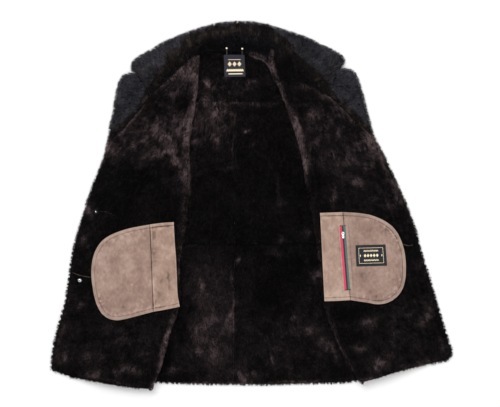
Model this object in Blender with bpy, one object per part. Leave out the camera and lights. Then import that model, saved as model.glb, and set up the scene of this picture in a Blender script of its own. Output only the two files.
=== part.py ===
"""Shearling coat laid open on its back, fur side up, on a flat surface.

The back lies on the surface. Each front returns over it, turns back on itself at
a rolled fold and lies outwards over the sleeve, which is pressed flat beneath it.
The collar and lapels are spread above them. All walls are fur and skin together.

Frame: metres, +Z up, +Y towards the collar, the origin in the middle of the
outline on the surface. "left" is the -X side and "right" the +X side.
"""

import math

import bmesh
import bpy
import numpy as np
from mathutils import Matrix, Vector
from mathutils.bvhtree import BVHTree

MM = 0.001

# Driving dimensions, in millimetres.
PELT = 10.0  # back and front walls: 1.5 of skin and the fur on it
SLEEVE_PELT = 7.0  # each half of a sleeve, pressed by the front on it
COLLAR_PELT = 12.0  # the denser fur of collar and lapels
SKIN = 2.0  # what is left of a wall at its rounded edge
SEAM = 0.3  # gap between pieces side by side
LAYER_GAP = 1.0  # gap between pieces that lie on each other
SEWN_GAP = 0.5  # gap under what is sewn on
FOLD_INNER = 2.0  # inner radius of a front's rolled fold
FOLD_BLEND = 16.0  # past the fold the front settles on the layers below
EDGE_ROUND = 9.0  # width over which a free fur edge rounds off
SEAM_ROUND = 4.0
SLEEVE_ROUND = 14.0
SUEDE = 1.8  # pocket leather
LABEL = 1.4
TAPE = 0.8

FOLD_OUTER = FOLD_INNER + PELT
FOLD_TOP = 2 * PELT + LAYER_GAP + 2 * FOLD_INNER
BODY_HEAP = 2 * (PELT + LAYER_GAP)  # back and return, under the sleeve
SLEEVE_HEAP = 2 * (SLEEVE_PELT + LAYER_GAP)

# Lines of the coat as it lies, x and y in millimetres, from the top down or from
# the middle out. Those of a front all start on the groove under the collar and
# end on its hem: its fold, the sleeve's two edges below it, the side seam, and
# the front's free edge.
NECK = ((-131, 384), (-94, 388), (-36, 388), (-1, 380), (31, 369), (52, 352))
SHOULDERS = {"left": (-250, 316), "right": (188, 318)}
YOKE_SEAM_Y = 265
WAIST_SEAM_Y = -95
CENTRE_BACK = ((-36, 388), (-38, 265), (-43, -95), (-45, -446))
BACK_HEM = ((-372, -430), (-214, -442), (-94, -446), (-4, -447), (146, -444), (270, -436), (344, -412))

LINES = {
    "left": {
        "fold": (
            (-127, 378), (-133, 288), (-143, 223), (-152, 171), (-153, 61), (-160, -36),
            (-177, -134), (-176, -250), (-202, -322), (-221, -392.5), (-246, -461.5),
        ),
        "sleeve_in": (
            (-192, 332), (-198, 250), (-207, 165), (-200, 50), (-210, -36), (-224, -135),
            (-232, -268), (-262, -370), (-290, -456),
        ),
        "side": (
            (-250, 272), (-264, 200), (-286, 103), (-305, -95), (-322, -245), (-345, -350), (-372, -444),
        ),
        "sleeve_out": (
            (-322, 187), (-336, 130), (-356, 60), (-382, -50), (-396, -135), (-408, -270),
            (-428, -360), (-450, -429),
        ),
        "edge": (
            (-357, 176), (-372, 115), (-396, 55), (-416, -5), (-435, -65), (-449, -125),
            (-457, -180), (-468, -245), (-485, -305), (-498, -365), (-502, -409),
        ),
        "collar_top": (
            (-36, 459), (-64, 457.5), (-94, 453), (-124, 444), (-154, 434), (-184, 423), (-214, 410),
            (-244, 393), (-275, 375), (-293, 363), (-300, 350),
        ),
        "collar_end": ((-250, 273), (-270, 312), (-279, 326), (-292, 334), (-300, 350)),
        "lapel_top": ((-250, 272), (-270, 311), (-278, 324.5), (-301, 329), (-321, 325)),
        "lapel_edge": ((-321, 325), (-334, 295), (-341, 255), (-345, 235), (-352, 205), (-357, 178)),
    },
    "right": {
        "fold": (
            (62, 308), (72, 280), (90, 236), (110, 171), (123, 126), (131, 71), (145, -10),
            (164, -88), (175, -238), (208, -329), (240, -394), (270, -446),
        ),
        "sleeve_in": (
            (132, 304), (138, 235), (153, 165), (180, 40), (194, -36), (211, -135),
            (224, -250), (264, -360), (312, -432),
        ),
        "side": ((190, 276), (202, 200), (226, 103), (256, -95), (284, -245), (312, -350), (345, -421)),
        "sleeve_out": (
            (272, 199), (292, 140), (322, 50), (354, -50), (376, -135), (394, -280),
            (418, -350), (440, -397),
        ),
        "edge": (
            (306, 173), (327, 135), (346, 95), (364, 55), (383, 15), (406, -45), (428, -125),
            (447, -185), (471, -265), (483, -305), (495, -345), (502, -380),
        ),
        "collar_top": (
            (-36, 459), (-4, 458.5), (26, 454), (56, 446), (87, 437), (117, 427), (147, 415),
            (178, 400), (208, 385), (224, 376), (231, 362),
        ),
        "collar_end": ((190, 277), (203, 318), (211, 338), (222, 345), (231, 362)),
        "lapel_top": ((190, 276), (203, 317), (212, 336.5), (233, 341), (255, 336)),
        "lapel_edge": ((255, 336), (265, 315), (273, 290), (283, 255), (294, 215), (306, 175)),
    },
}

# Where the collar's inner edge runs before it meets the groove over a front.
COLLAR_NECK = {
    "left": ((-36, 385), (-66, 385), (-94, 385), (-116, 384), (-127, 381)),
    "right": ((-36, 385), (-18, 382), (-1, 377), (16, 372), (31, 366), (45, 352), (53, 332), (60, 312)),
}

POCKETS = {
    "left": {
        "mouth": ((-194, -40), (-188, -136), (-184, -222), (-179, -251.5)),
        "seam": ((-254, -46), (-245, -264)),
        "strip_top": ((-254, -46), (-224, -42), (-194, -40)),
        "strip_foot": ((-245, -264), (-213, -258.5), (-179, -251.5)),
        "bag_top": ((-254, -46), (-310, -57), (-353, -73), (-384, -101)),
        "bag_side": ((-384, -101), (-397, -133), (-400, -168), (-392, -229), (-374, -269)),
        "bag_foot": ((-245, -264), (-290, -276), (-334, -285.5), (-356, -281), (-374, -269)),
    },
    "right": {
        "mouth": ((171, -17), (176.5, -127), (182, -238)),
        "seam": ((228, -15), (247, -235)),
        "strip_top": ((228, -15), (200, -16), (171, -17)),
        "strip_foot": ((247, -235), (215, -237), (182, -238)),
        "bag_top": ((228, -15), (297, -22), (330, -36), (352, -51)),
        "bag_side": ((352, -51), (372, -81), (384, -122), (385.5, -160), (378, -206), (352, -236)),
        "bag_foot": ((247, -235), (290, -241.5), (315, -245.5), (335, -243), (352, -236)),
    },
}

ZIP_TOP = (226.8, -50.0)
ZIP_FOOT = (239.0, -208.0)
TAPE_WIDTH = 4.6
CHAIN_WIDTH = 3.6
SLIDER_DOWN = 19.0  # the slider's middle, down the zip from its top
SLIDER_PLATE = (7.0, 9.0, 1.6)  # width, length, height
EAR = (1.0, 3.0, 3.0)
EAR_GAP = 3.8  # between the ears that hold the pull tab's pin
SUNK = 0.4  # how far the ears reach into the plate
PIN_RADIUS = 0.6
PIN_HEIGHT = 3.3  # above the slider's underside
PULL_BARREL = (0.95, 1.35, 3.0)  # bore radius, outer radius, width
PULL_TAB = (5.0, 11.5, 1.1)
PULL_TILT = math.radians(9)  # the tab lies down towards the chain

# Outlines as shares of the half width and of the length, one side from the top.
PLATE_SHAPE = ((0.64, -0.5), (1.0, -0.15), (1.0, 0.18), (0.72, 0.5))
TAB_SHAPE = ((0.6, 0.23), (1.0, 0.45), (1.0, 0.85), (0.6, 1.0))

NECK_LABEL = ((-69.5, 378), (-17.5, 378), (-14.5, 323), (-67.5, 322))
POCKET_LABEL = ((259.5, -98), (334.5, -96), (338.5, -149), (262.0, -151))
RIVETS = ((-62, 394), (-23, 393))
RIVET_RADIUS = 3.2
STUDS = ((-389, -14.5), (-429, -186))
STUD_RADIUS = 5.5
# Radius and height up a turned piece, from the middle below to the middle above.
STUD_PROFILE = ((0, 0), (5.5, 0), (5.5, 0.9), (4.4, 1.7), (2.3, 2.0), (0, 2.6))
RIVET_PROFILE = ((0, 0), (3.2, 0), (3.2, 0.7), (1.9, 1.5), (0, 1.8))
LOOP_RADIUS = 1.3
LOOP_DROP = 30.0  # how far the hanger loop hangs below its rivets
# The loop's path: share of the way across from the left rivet, and of the drop.
LOOP_PATH = ((0, 0.17), (0.03, 0.6), (0.15, 0.92), (0.5, 1), (0.85, 0.92), (0.97, 0.6), (1, 0.17))

COLOURS = {
    "fur": ((0.030, 0.022, 0.022, 1), 0.9, 0.0),
    "collar_fur": ((0.026, 0.027, 0.033, 1), 0.85, 0.0),
    "suede": ((0.36, 0.25, 0.20, 1), 0.9, 0.0),
    "label_leather": ((0.025, 0.026, 0.03, 1), 0.5, 0.0),
    "red_tape": ((0.75, 0.05, 0.12, 1), 0.7, 0.0),
    "green_tape": ((0.13, 0.24, 0.21, 1), 0.7, 0.0),
    "chain": ((0.02, 0.02, 0.022, 1), 0.4, 0.0),
    "chrome": ((0.8, 0.8, 0.8, 1), 0.15, 1.0),
    "brass": ((0.75, 0.62, 0.35, 1), 0.25, 1.0),
    "cord": ((0.02, 0.02, 0.02, 1), 0.6, 0.0),
}


# Rows of a front, as fractions of its lines from the groove to the hem, and how
# much of the sleeve's height lies below each: the cap starts and the cuff ends
# between the rows.
FRONT_ROWS = np.r_[
    0, 0.006, 0.05, 0.068, np.linspace(0.13, 0.70, 9), 0.75, 0.768, 0.815, 0.875, 0.935, 0.989, 0.9968, 1
]
SLEEVE_ROWS = slice(2, 15)
SLEEVE_EDGE = 0.6  # of a sleeve's height is left at its pressed edges
SLEEVE_BELOW = np.zeros(len(FRONT_ROWS))
SLEEVE_BELOW[SLEEVE_ROWS] = 1
SLEEVE_BELOW[[2, 14]] = SLEEVE_EDGE

# Columns of a turned front: name, and the share of the body's layers and of the
# sleeve's that lies below.
COLUMNS = (
    ("fold", 1, 0),
    ("settled", 1, 0.05),
    ("sleeve_in", 1, SLEEVE_EDGE),
    ("sleeve_in_full", 1, 1),
    ("side", 1, 1),
    ("between", 0.5, 1),
    ("sleeve_out_full", 0.12, 1),
    ("sleeve_out", 0, SLEEVE_EDGE),
    ("edge_fall", 0, 0),
    ("edge_round", 0, 0),
    ("edge", 0, 0),
)
COLUMN_NAMES = [name for name, _, _ in COLUMNS]
BODY_SHARE = np.array([body for _, body, _ in COLUMNS])
SLEEVE_SHARE = np.array([sleeve for _, _, sleeve in COLUMNS])
SIDE_COLUMN = COLUMN_NAMES.index("side")
SLEEVE_COLUMNS = slice(COLUMN_NAMES.index("sleeve_in"), COLUMN_NAMES.index("sleeve_out") + 1)
ROUND_COLUMN = 0.3  # of EDGE_ROUND, where "edge_round" lies
TURN_STEPS = 8  # round a rolled fold

# Fractions across a collar and a lapel, from the inner edge out.
COLLAR_COLUMNS = np.array([0, 0.05, 0.3, 0.5, 0.7, 0.9, 0.97, 1])
COLLAR_STAND = 0.3  # this far out the collar keeps its inner edge's height
COLLAR_CLIMB = 0.93  # how fast the collar's edge rises from the yoke to the front
LAPEL_COLUMNS = np.array([0, 0.05, 0.35, 0.65, 0.9, 0.97, 1])


def clear_scene():
    for item in list(bpy.data.objects):
        bpy.data.objects.remove(item, do_unlink=True)


def material(name):
    """A plain shader with the part's colour, roughness and metallic value."""
    found = bpy.data.materials.get(name)
    if found:
        return found
    colour, roughness, metallic = COLOURS[name]
    made = bpy.data.materials.new(name)
    made.use_nodes = True
    shader = made.node_tree.nodes["Principled BSDF"]
    shader.inputs["Base Color"].default_value = colour
    shader.inputs["Roughness"].default_value = roughness
    shader.inputs["Metallic"].default_value = metallic
    made.diffuse_color = colour
    return made


def add_body(name, points_mm, faces, finish, smooth_angle=40):
    """One closed body from points in millimetres, its faces turned outwards."""
    mesh = bpy.data.meshes.new(name)
    mesh.from_pydata((np.asarray(points_mm) * MM).tolist(), [], faces)
    work = bmesh.new()
    work.from_mesh(mesh)
    bmesh.ops.recalc_face_normals(work, faces=work.faces)
    work.to_mesh(mesh)
    work.free()
    mesh.shade_smooth()
    mesh.set_sharp_from_angle(angle=math.radians(smooth_angle))
    mesh.materials.append(material(finish))
    body = bpy.data.objects.new(name, mesh)
    bpy.context.scene.collection.objects.link(body)
    return body


def ease(x):
    """Smooth step from 0 at x = 0 to 1 at x = 1."""
    x = np.clip(x, 0, 1)
    return x * x * (3 - 2 * x)


def along(line, fractions):
    """Points at fractions of a smooth curve through a line's points."""
    points = np.asarray(line, float)
    reach = np.r_[0, np.cumsum(np.linalg.norm(np.diff(points, axis=0), axis=1))]
    knots = reach / reach[-1]
    slopes = np.gradient(points, knots, axis=0)
    fractions = np.asarray(fractions, float)
    k = np.clip(np.searchsorted(knots, fractions, side="right") - 1, 0, len(knots) - 2)
    span = (knots[k + 1] - knots[k])[:, None]
    s = (fractions - knots[k])[:, None] / span
    start = (1 + 2 * s) * (1 - s) ** 2 * points[k] + s * (1 - s) ** 2 * span * slopes[k]
    end = s**2 * (3 - 2 * s) * points[k + 1] + s**2 * (s - 1) * span * slopes[k + 1]
    return start + end


def patch(west, east, north, south, across, down):
    """Plan points between four rows of edge points that meet at their corners (Coons)."""
    w, e, n, s = west[:, None], east[:, None], north[None], south[None]
    u, v = across[None, :, None], down[:, None, None]
    corners = (1 - u) * ((1 - v) * w[0] + v * w[-1]) + u * ((1 - v) * e[0] + v * e[-1])
    return (1 - u) * w + u * e + (1 - v) * n + v * s - corners


def line_patch(west, east, north, south, across, down):
    """The same between four smooth lines."""
    edges = (along(west, down), along(east, down), along(north, across), along(south, across))
    return patch(*edges, across, down)


def steps(count, width, rounding):
    """Fractions of a width, closer at both ends, where the wall rounds off."""
    first = rounding / width
    middle = np.linspace(first, 1 - first, count)
    return np.r_[0, first * 0.3, middle, 1 - first * 0.3, 1]


def pull_in(grid, by):
    """Moves a grid's border inwards, which leaves the seam gap between pieces."""
    grid = grid.copy()
    for border, inner in ((0, 1), (-1, -2)):
        step = grid[inner] - grid[border]
        grid[border] += by * step / np.linalg.norm(step, axis=-1, keepdims=True)
    for border, inner in ((0, 1), (-1, -2)):
        step = grid[:, inner] - grid[:, border]
        grid[:, border] += by * step / np.linalg.norm(step, axis=-1, keepdims=True)
    return grid


def rounded(grid, west, east, north, south):
    """Share of the full wall at each point, falling near each edge by its rounding."""
    share = np.ones(grid.shape[:2])
    edges = ((grid[:, :1], west), (grid[:, -1:], east), (grid[:1], north), (grid[-1:], south))
    for edge, rounding in edges:
        if rounding:
            reach = np.clip(np.linalg.norm(grid - edge, axis=-1) / rounding, 0, 1)
            share = share * np.sqrt(1 - (1 - reach) ** 2)
    return share


def thick(share, full):
    """A wall's thickness: the skin at a rounded edge, the full pelt inside."""
    return SKIN + (full - SKIN) * share


def sheet_faces(index):
    """Triangles of a sheet, with one diagonal throughout, so that layers cut alike."""
    a, b, c, d = index[:-1, :-1], index[:-1, 1:], index[1:, 1:], index[1:, :-1]
    return np.concatenate([np.stack([a, b, c], -1), np.stack([a, c, d], -1)]).reshape(-1, 3)


def two_sheets(name, outer, inner, finish):
    """A closed wall between two sheets of points."""
    rows, cols = outer.shape[:2]
    index = np.arange(rows * cols).reshape(rows, cols)
    sheet = sheet_faces(index)
    rim = np.r_[index[0], index[1:, -1], index[-1, -2::-1], index[-2:0:-1, 0]]
    after, under = np.roll(rim, -1), rows * cols
    walls = np.r_[np.c_[rim, after, after + under], np.c_[rim, after + under, rim + under]]
    faces = np.concatenate([sheet, sheet + under, walls])
    points = np.concatenate([outer.reshape(-1, 3), inner.reshape(-1, 3)])
    return add_body(name, points, faces.tolist(), finish)


def flat_tube(name, sheets, finish):
    """A flattened tube, open at both ends: its sheets are top, bore top, bore floor, foot."""
    rows, cols = sheets[0].shape[:2]
    index = np.arange(4 * rows * cols).reshape(4, rows, cols)
    faces = [sheet_faces(sheet) for sheet in index]
    for upper, lower in ((0, 3), (1, 2)):
        faces += [sheet_faces(index[[upper, lower], :, column]) for column in (0, -1)]
    for upper, lower in ((0, 1), (2, 3)):
        faces += [sheet_faces(index[[upper, lower], row]) for row in (0, -1)]
    for row in (0, -1):
        for column in (0, -1):
            top, bore_top, bore_floor, foot = index[:, row, column]
            faces.append(np.array([[top, bore_top, bore_floor], [top, bore_floor, foot]]))
    points = np.concatenate([sheet.reshape(-1, 3) for sheet in sheets])
    return add_body(name, points, np.concatenate(faces).tolist(), finish)


def slab(name, grid, lower, upper, finish):
    """A wall between two heights over one grid of plan points."""
    return two_sheets(name, np.dstack([grid, upper]), np.dstack([grid, lower]), finish)


def panel(name, grid, lower, full, finish, rounding):
    """A pelt piece on its plan grid; rounding is for its west, east, north, south."""
    return slab(name, grid, lower, lower + thick(rounded(grid, *rounding), full), finish)


def part_line(line, top_y, foot_y):
    """The stretch of a line between two heights, as a short line of its own."""
    fine = along(line, np.linspace(0, 1, 201))
    heights = np.linspace(top_y, foot_y, 5)
    xs = np.interp(-heights, -fine[:, 1], fine[:, 0])
    return tuple(zip(xs, heights))


def make_back():
    """Yoke, two upper and two lower back panels, flat on the surface."""
    sides = {side: LINES[side]["side"] for side in LINES}
    cuts = {side: part_line(sides[side], YOKE_SEAM_Y, WAIST_SEAM_Y)[0] for side in LINES}
    top = (SHOULDERS["left"],) + NECK + (SHOULDERS["right"],)
    west = (SHOULDERS["left"], cuts["left"])
    east = (SHOULDERS["right"], cuts["right"])
    across, down = steps(9, 430, SEAM_ROUND), steps(3, 90, SEAM_ROUND)
    seam = (cuts["left"], cuts["right"])
    grid = pull_in(line_patch(west, east, top, seam, across, down), SEAM)
    flat = np.zeros(grid.shape[:2])
    panel("back_yoke", grid, flat, PELT, "fur", (EDGE_ROUND, EDGE_ROUND, 0, SEAM_ROUND))

    hem_middle = CENTRE_BACK[-1]
    levels = (("upper", YOKE_SEAM_Y, WAIST_SEAM_Y, SEAM_ROUND), ("lower", WAIST_SEAM_Y, -400, EDGE_ROUND))
    for level, top_y, foot_y, foot_round in levels:
        for side, sign in (("left", -1), ("right", 1)):
            middle = part_line(CENTRE_BACK, top_y, foot_y)
            outer = part_line(sides[side], top_y, foot_y)
            foot = (middle[-1], outer[-1])
            if level == "lower":
                hem = [p for p in BACK_HEM if (p[0] - hem_middle[0]) * sign > 20]
                foot = (hem_middle, *sorted(hem, key=lambda p: p[0] * sign))
                middle = middle[:-1] + foot[:1]
                outer = outer[:-1] + foot[-1:]
            across, down = steps(4, 260, SEAM_ROUND), steps(4, 350, SEAM_ROUND)
            grid = line_patch(middle, outer, (middle[0], outer[0]), foot, across, down)
            grid = pull_in(grid, SEAM / 2)
            flat = np.zeros(grid.shape[:2])
            rounding = (SEAM_ROUND, EDGE_ROUND, SEAM_ROUND, foot_round)
            panel(f"back_{level}_{side}", grid, flat, PELT, "fur", rounding)


def outward(points, sign):
    """Unit steps across a line that runs down the coat, towards its free edge."""
    run = np.gradient(points, axis=0)
    run /= np.linalg.norm(run, axis=1, keepdims=True)
    return sign * np.c_[-run[:, 1], run[:, 0]]


def moved(points, aim, by):
    """Points moved by a distance towards others."""
    step = aim - points
    return points + by * step / np.linalg.norm(step, axis=1, keepdims=True)


def front_plan(side):
    """Plan points of a turned front at its rows and columns, and its fold's frame."""
    lines = LINES[side]
    sign = -1 if side == "left" else 1
    fold = along(lines["fold"], FRONT_ROWS)
    out = outward(fold, sign)
    rolled = fold + out * FOLD_OUTER
    sleeve_in, seam, sleeve_out, edge = (
        along(lines[name], FRONT_ROWS) for name in ("sleeve_in", "side", "sleeve_out", "edge")
    )
    columns = (
        rolled,
        moved(rolled, sleeve_in, FOLD_BLEND),
        sleeve_in,
        moved(sleeve_in, seam, SLEEVE_ROUND),
        seam,
        (seam + sleeve_out) / 2,
        moved(sleeve_out, seam, SLEEVE_ROUND),
        sleeve_out,
        moved(edge, sleeve_out, EDGE_ROUND),
        moved(edge, sleeve_out, EDGE_ROUND * ROUND_COLUMN),
        edge,
    )
    return np.stack(columns, axis=1), fold, out


def heap_below():
    """Height of the layers below a turned front, at its rows and columns."""
    sleeve = np.minimum(SLEEVE_BELOW[:, None], SLEEVE_SHARE[None])
    return BODY_HEAP * BODY_SHARE[None] + SLEEVE_HEAP * sleeve


def front_skin():
    """Height of a turned front's skin: on the layers below, and on its own roll."""
    skin = heap_below()
    skin[:, 0] = FOLD_TOP
    return skin


def make_front(side):
    """A front: its return on the back, the rolled fold and the turned-back part."""
    plan, fold, out = front_plan(side)
    turned = pull_in(plan, SEAM / 2)
    rolled, seam = plan[:, 0], plan[:, SIDE_COLUMN]
    hidden = np.linspace(1, 0, 4)[None, :, None]
    below = rolled[:, None] * (1 - hidden) + seam[:, None] * hidden
    turned[:, 0] = rolled

    angles = np.radians(np.linspace(-90, 90, TURN_STEPS)[1:-1])
    centre = PELT + LAYER_GAP + FOLD_OUTER
    low = np.full(below.shape[:2], PELT + LAYER_GAP)
    skin = front_skin()
    share = rounded(turned, 0, EDGE_ROUND, SEAM_ROUND, 0)
    fur_parts, skin_parts = [np.dstack([below, low])], [np.dstack([below, low + PELT])]
    for radius, parts in ((FOLD_OUTER, fur_parts), (FOLD_INNER, skin_parts)):
        turn = rolled[:, None] - out[:, None] * (radius * np.cos(angles))[None, :, None]
        rise = np.broadcast_to(centre + radius * np.sin(angles), turn.shape[:2])
        parts.append(np.dstack([turn, rise]))
    fur_parts.append(np.dstack([turned, skin + thick(share, PELT)]))
    skin_parts.append(np.dstack([turned, skin]))
    fur, bare = np.concatenate(fur_parts, axis=1), np.concatenate(skin_parts, axis=1)

    from_hem = np.clip(np.linalg.norm(fold - fold[-1], axis=1) / EDGE_ROUND, 0, 1)
    wall = fur - bare
    length = np.linalg.norm(wall, axis=2, keepdims=True)
    kept = np.maximum(np.sqrt(1 - (1 - from_hem[:, None, None]) ** 2) * length, SKIN)
    fur = bare + wall / length * np.minimum(kept, length)
    return two_sheets(f"front_{side}", fur, bare, "fur")


def make_sleeve(side):
    """A sleeve pressed flat: a tube whose top lies on its floor, open at cap and cuff."""
    plan = front_plan(side)[0][SLEEVE_ROWS, SLEEVE_COLUMNS]
    body = (BODY_HEAP * BODY_SHARE)[None, SLEEVE_COLUMNS] + np.zeros(plan.shape[:2])
    share = np.ones(plan.shape[:2])
    share[[0, -1]] = share[:, 0] = share[:, -1] = 0
    wall = thick(share, SLEEVE_PELT)
    foot = body + (SLEEVE_PELT - wall) / 2 * (body > 0)
    bore = plan.copy()
    bore[:, 0] = moved(plan[:, 0], plan[:, 1], SLEEVE_PELT / 2)
    bore[:, -1] = moved(plan[:, -1], plan[:, -2], SLEEVE_PELT / 2)
    bore_floor = foot + wall
    bore_top = bore_floor + LAYER_GAP / 2
    levels = ((plan, bore_top + wall), (bore, bore_top), (bore, bore_floor), (plan, foot))
    flat_tube(f"sleeve_{side}", [np.dstack(level) for level in levels], "suede")


def make_collar(side):
    """Half of the collar, from the centre seam to its rounded point."""
    lines = LINES[side]
    over_front = slice(0, SIDE_COLUMN + 1)
    groove, height = front_plan(side)[0][0, over_front], front_skin()[0, over_front]
    inner = np.vstack([COLLAR_NECK[side], groove])
    on_yoke = PELT + LAYER_GAP
    climb = np.linspace(0, COLLAR_CLIMB, len(COLLAR_NECK[side])) ** 3
    height = np.r_[on_yoke + (FOLD_TOP - on_yoke) * climb, height]
    reach = np.r_[0, np.cumsum(np.linalg.norm(np.diff(inner, axis=0), axis=1))]
    down = reach / reach[-1]
    across = COLLAR_COLUMNS
    middle = along((inner[0], lines["collar_top"][0]), across)
    end = along(lines["collar_end"], across)
    grid = pull_in(patch(inner, along(lines["collar_top"], down), middle, end, across, down), SEAM)
    lower = height[:, None] * (1 - ease((across[None] - COLLAR_STAND) / (1 - COLLAR_STAND)))
    rounding = (SEAM_ROUND, EDGE_ROUND, SEAM_ROUND, EDGE_ROUND)
    panel(f"collar_{side}", grid, lower, COLLAR_PELT, "collar_fur", rounding)


def make_lapel(side):
    """A lapel, from the gorge seam and notch down to where the front's edge starts."""
    lines = LINES[side]
    groove, height = front_plan(side)[0][0, SIDE_COLUMN:], front_skin()[0, SIDE_COLUMN:]
    reach = np.r_[0, np.cumsum(np.linalg.norm(np.diff(groove, axis=0), axis=1))]
    down = reach / reach[-1]
    across = LAPEL_COLUMNS
    foot = np.repeat(groove[-1:], len(across), axis=0)
    top = along(lines["lapel_top"], across)
    edge = along(lines["lapel_edge"], down)
    grid = patch(groove, edge, top, foot, across, down)[:-1]
    grid = pull_in(grid, SEAM)
    lower = height[:-1, None] * (1 - ease(across[None]))
    rounding = (SEAM_ROUND, EDGE_ROUND, EDGE_ROUND, SEAM_ROUND)
    panel(f"lapel_{side}", grid, lower, COLLAR_PELT, "collar_fur", rounding)


def ground(bodies, points):
    """Highest point of the named bodies under each plan point; 0 where there is none."""
    height = np.zeros(len(points))
    for name in bodies:
        tree = BVHTree.FromObject(bpy.data.objects[name], bpy.context.evaluated_depsgraph_get())
        for k, (x, y) in enumerate(points * MM):
            hit = tree.ray_cast((x, y, 1), (0, 0, -1))[0]
            if hit:
                height[k] = max(height[k], hit.z / MM)
    return height


def drape(grid, bodies, gap):
    """Heights that lay a grid on the named bodies, clear of them over every cell."""
    rows, cols = grid.shape[:2]
    height = ground(bodies, grid.reshape(-1, 2)).reshape(rows, cols)
    share = np.linspace(0, 1, 8)
    v, u = np.meshgrid(share, share, indexing="ij")
    weights = np.stack([(1 - v) * (1 - u), (1 - v) * u, v * (1 - u), v * u]).reshape(4, -1)
    corners = np.stack([grid[:-1, :-1], grid[:-1, 1:], grid[1:, :-1], grid[1:, 1:]])
    inside = np.einsum("cs,crkx->rksx", weights, corners)
    below = ground(bodies, inside.reshape(-1, 2)).reshape(inside.shape[:3])
    for _ in range(3):
        at = np.stack([height[:-1, :-1], height[:-1, 1:], height[1:, :-1], height[1:, 1:]])
        lacking = np.clip((below - np.einsum("cs,crk->rks", weights, at)).max(-1), 0, None)
        lift = np.zeros_like(height)
        for rows_at, cols_at in (
            (slice(None, -1), slice(None, -1)),
            (slice(None, -1), slice(1, None)),
            (slice(1, None), slice(None, -1)),
            (slice(1, None), slice(1, None)),
        ):
            lift[rows_at, cols_at] = np.maximum(lift[rows_at, cols_at], lacking)
        height += lift
    return height + gap


def make_pocket(side):
    """The mouth strip and the round bag of an inside pocket, on the front's fur."""
    lines = POCKETS[side]
    pieces = (
        ("strip", lines["seam"], lines["mouth"], lines["strip_top"], lines["strip_foot"], 3),
        ("bag", lines["seam"], lines["bag_side"], lines["bag_top"], lines["bag_foot"], 6),
    )
    for part, west, east, north, south, columns in pieces:
        across, down = np.linspace(0, 1, columns + 1), np.linspace(0, 1, 9)
        grid = pull_in(line_patch(west, east, north, south, across, down), SEAM / 2)
        base = drape(grid, [f"front_{side}"], LAYER_GAP)
        slab(f"pocket_{side}_{part}", grid, base, base + SUEDE, "suede")


def make_plate(name, corners, columns, rows, bodies, gap, thickness, finish):
    """A thin four-cornered piece laid on the named bodies."""
    corners = np.asarray(corners, float)
    across, down = np.linspace(0, 1, columns), np.linspace(0, 1, rows)
    edges = (corners[[0, 3]], corners[[1, 2]], corners[[0, 1]], corners[[3, 2]])
    grid = line_patch(*edges, across, down)
    base = drape(grid, bodies, gap)
    slab(name, grid, base, base + thickness, finish)
    return float(base.max() + thickness)


def zip_frame():
    """The zip's middle line: its top, its unit step down and its unit step across."""
    top, foot = np.array(ZIP_TOP), np.array(ZIP_FOOT)
    down = (foot - top) / np.linalg.norm(foot - top)
    return top, foot, down, np.array([-down[1], down[0]])


def zip_strip(from_middle, to_middle):
    """Corners of a strip along the zip, between two distances from its middle."""
    top, foot, _, across = zip_frame()
    near, far = across * from_middle, across * to_middle
    return (top + near, top + far, foot + far, foot + near)


def turned_disc(name, centre, profile, finish, segments=14):
    """A round piece about +Z; the profile's rows are radius and height."""
    angles = np.linspace(0, 2 * np.pi, segments, endpoint=False)
    points = [(centre[0], centre[1], centre[2] + profile[0][1])]
    for radius, height in profile[1:-1]:
        circle = radius * np.c_[np.cos(angles), np.sin(angles)] + centre[:2]
        points.extend((x, y, centre[2] + height) for x, y in circle)
    points.append((centre[0], centre[1], centre[2] + profile[-1][1]))
    last = len(points) - 1
    faces = []
    for k in range(segments):
        after = (k + 1) % segments
        faces.append((0, 1 + after, 1 + k))
        faces.append((last - segments + k, last - segments + after, last))
        for level in range(len(profile) - 3):
            low = 1 + level * segments
            high = low + segments
            faces.append((low + k, low + after, high + after, high + k))
    return add_body(name, points, faces, finish)


def prism(name, outline, low, high, frame, finish):
    """An outline in a frame's first two steps, from low to high along its third."""
    origin, first, second, third = frame
    flat = np.array([origin + first * a + second * b for a, b in outline])
    points = np.vstack([flat + third * low, flat + third * high])
    count = len(outline)
    faces = [tuple(range(count)), tuple(range(count, 2 * count))]
    faces += [(k, (k + 1) % count, count + (k + 1) % count, count + k) for k in range(count)]
    return add_body(name, points, faces, finish)


def box_outline(width, length):
    a, b = width / 2, length / 2
    return ((-a, -b), (a, -b), (a, b), (-a, b))


def mirrored(shape, half_width, length):
    """A whole outline from one side's shares of the half width and the length."""
    side = [(a * half_width, b * length) for a, b in shape]
    return tuple(side + [(-a, b) for a, b in side[::-1]])


def round_outline(radius, segments):
    angles = np.linspace(0, 2 * np.pi, segments, endpoint=False)
    return tuple((radius * math.cos(a), radius * math.sin(a)) for a in angles)


def combine(body, other, operation):
    """A Boolean with another body, which is then only a guide."""
    step = body.modifiers.new(other.name, "BOOLEAN")
    step.operation = operation
    step.object = other
    other.hide_render = True
    other.display_type = "WIRE"


def put_origin(body, at):
    """Moves a body's origin, and not its shape, to a point such as its hinge."""
    place = Vector(at * MM)
    body.data.transform(Matrix.Translation(-place))
    body.location = place


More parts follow.
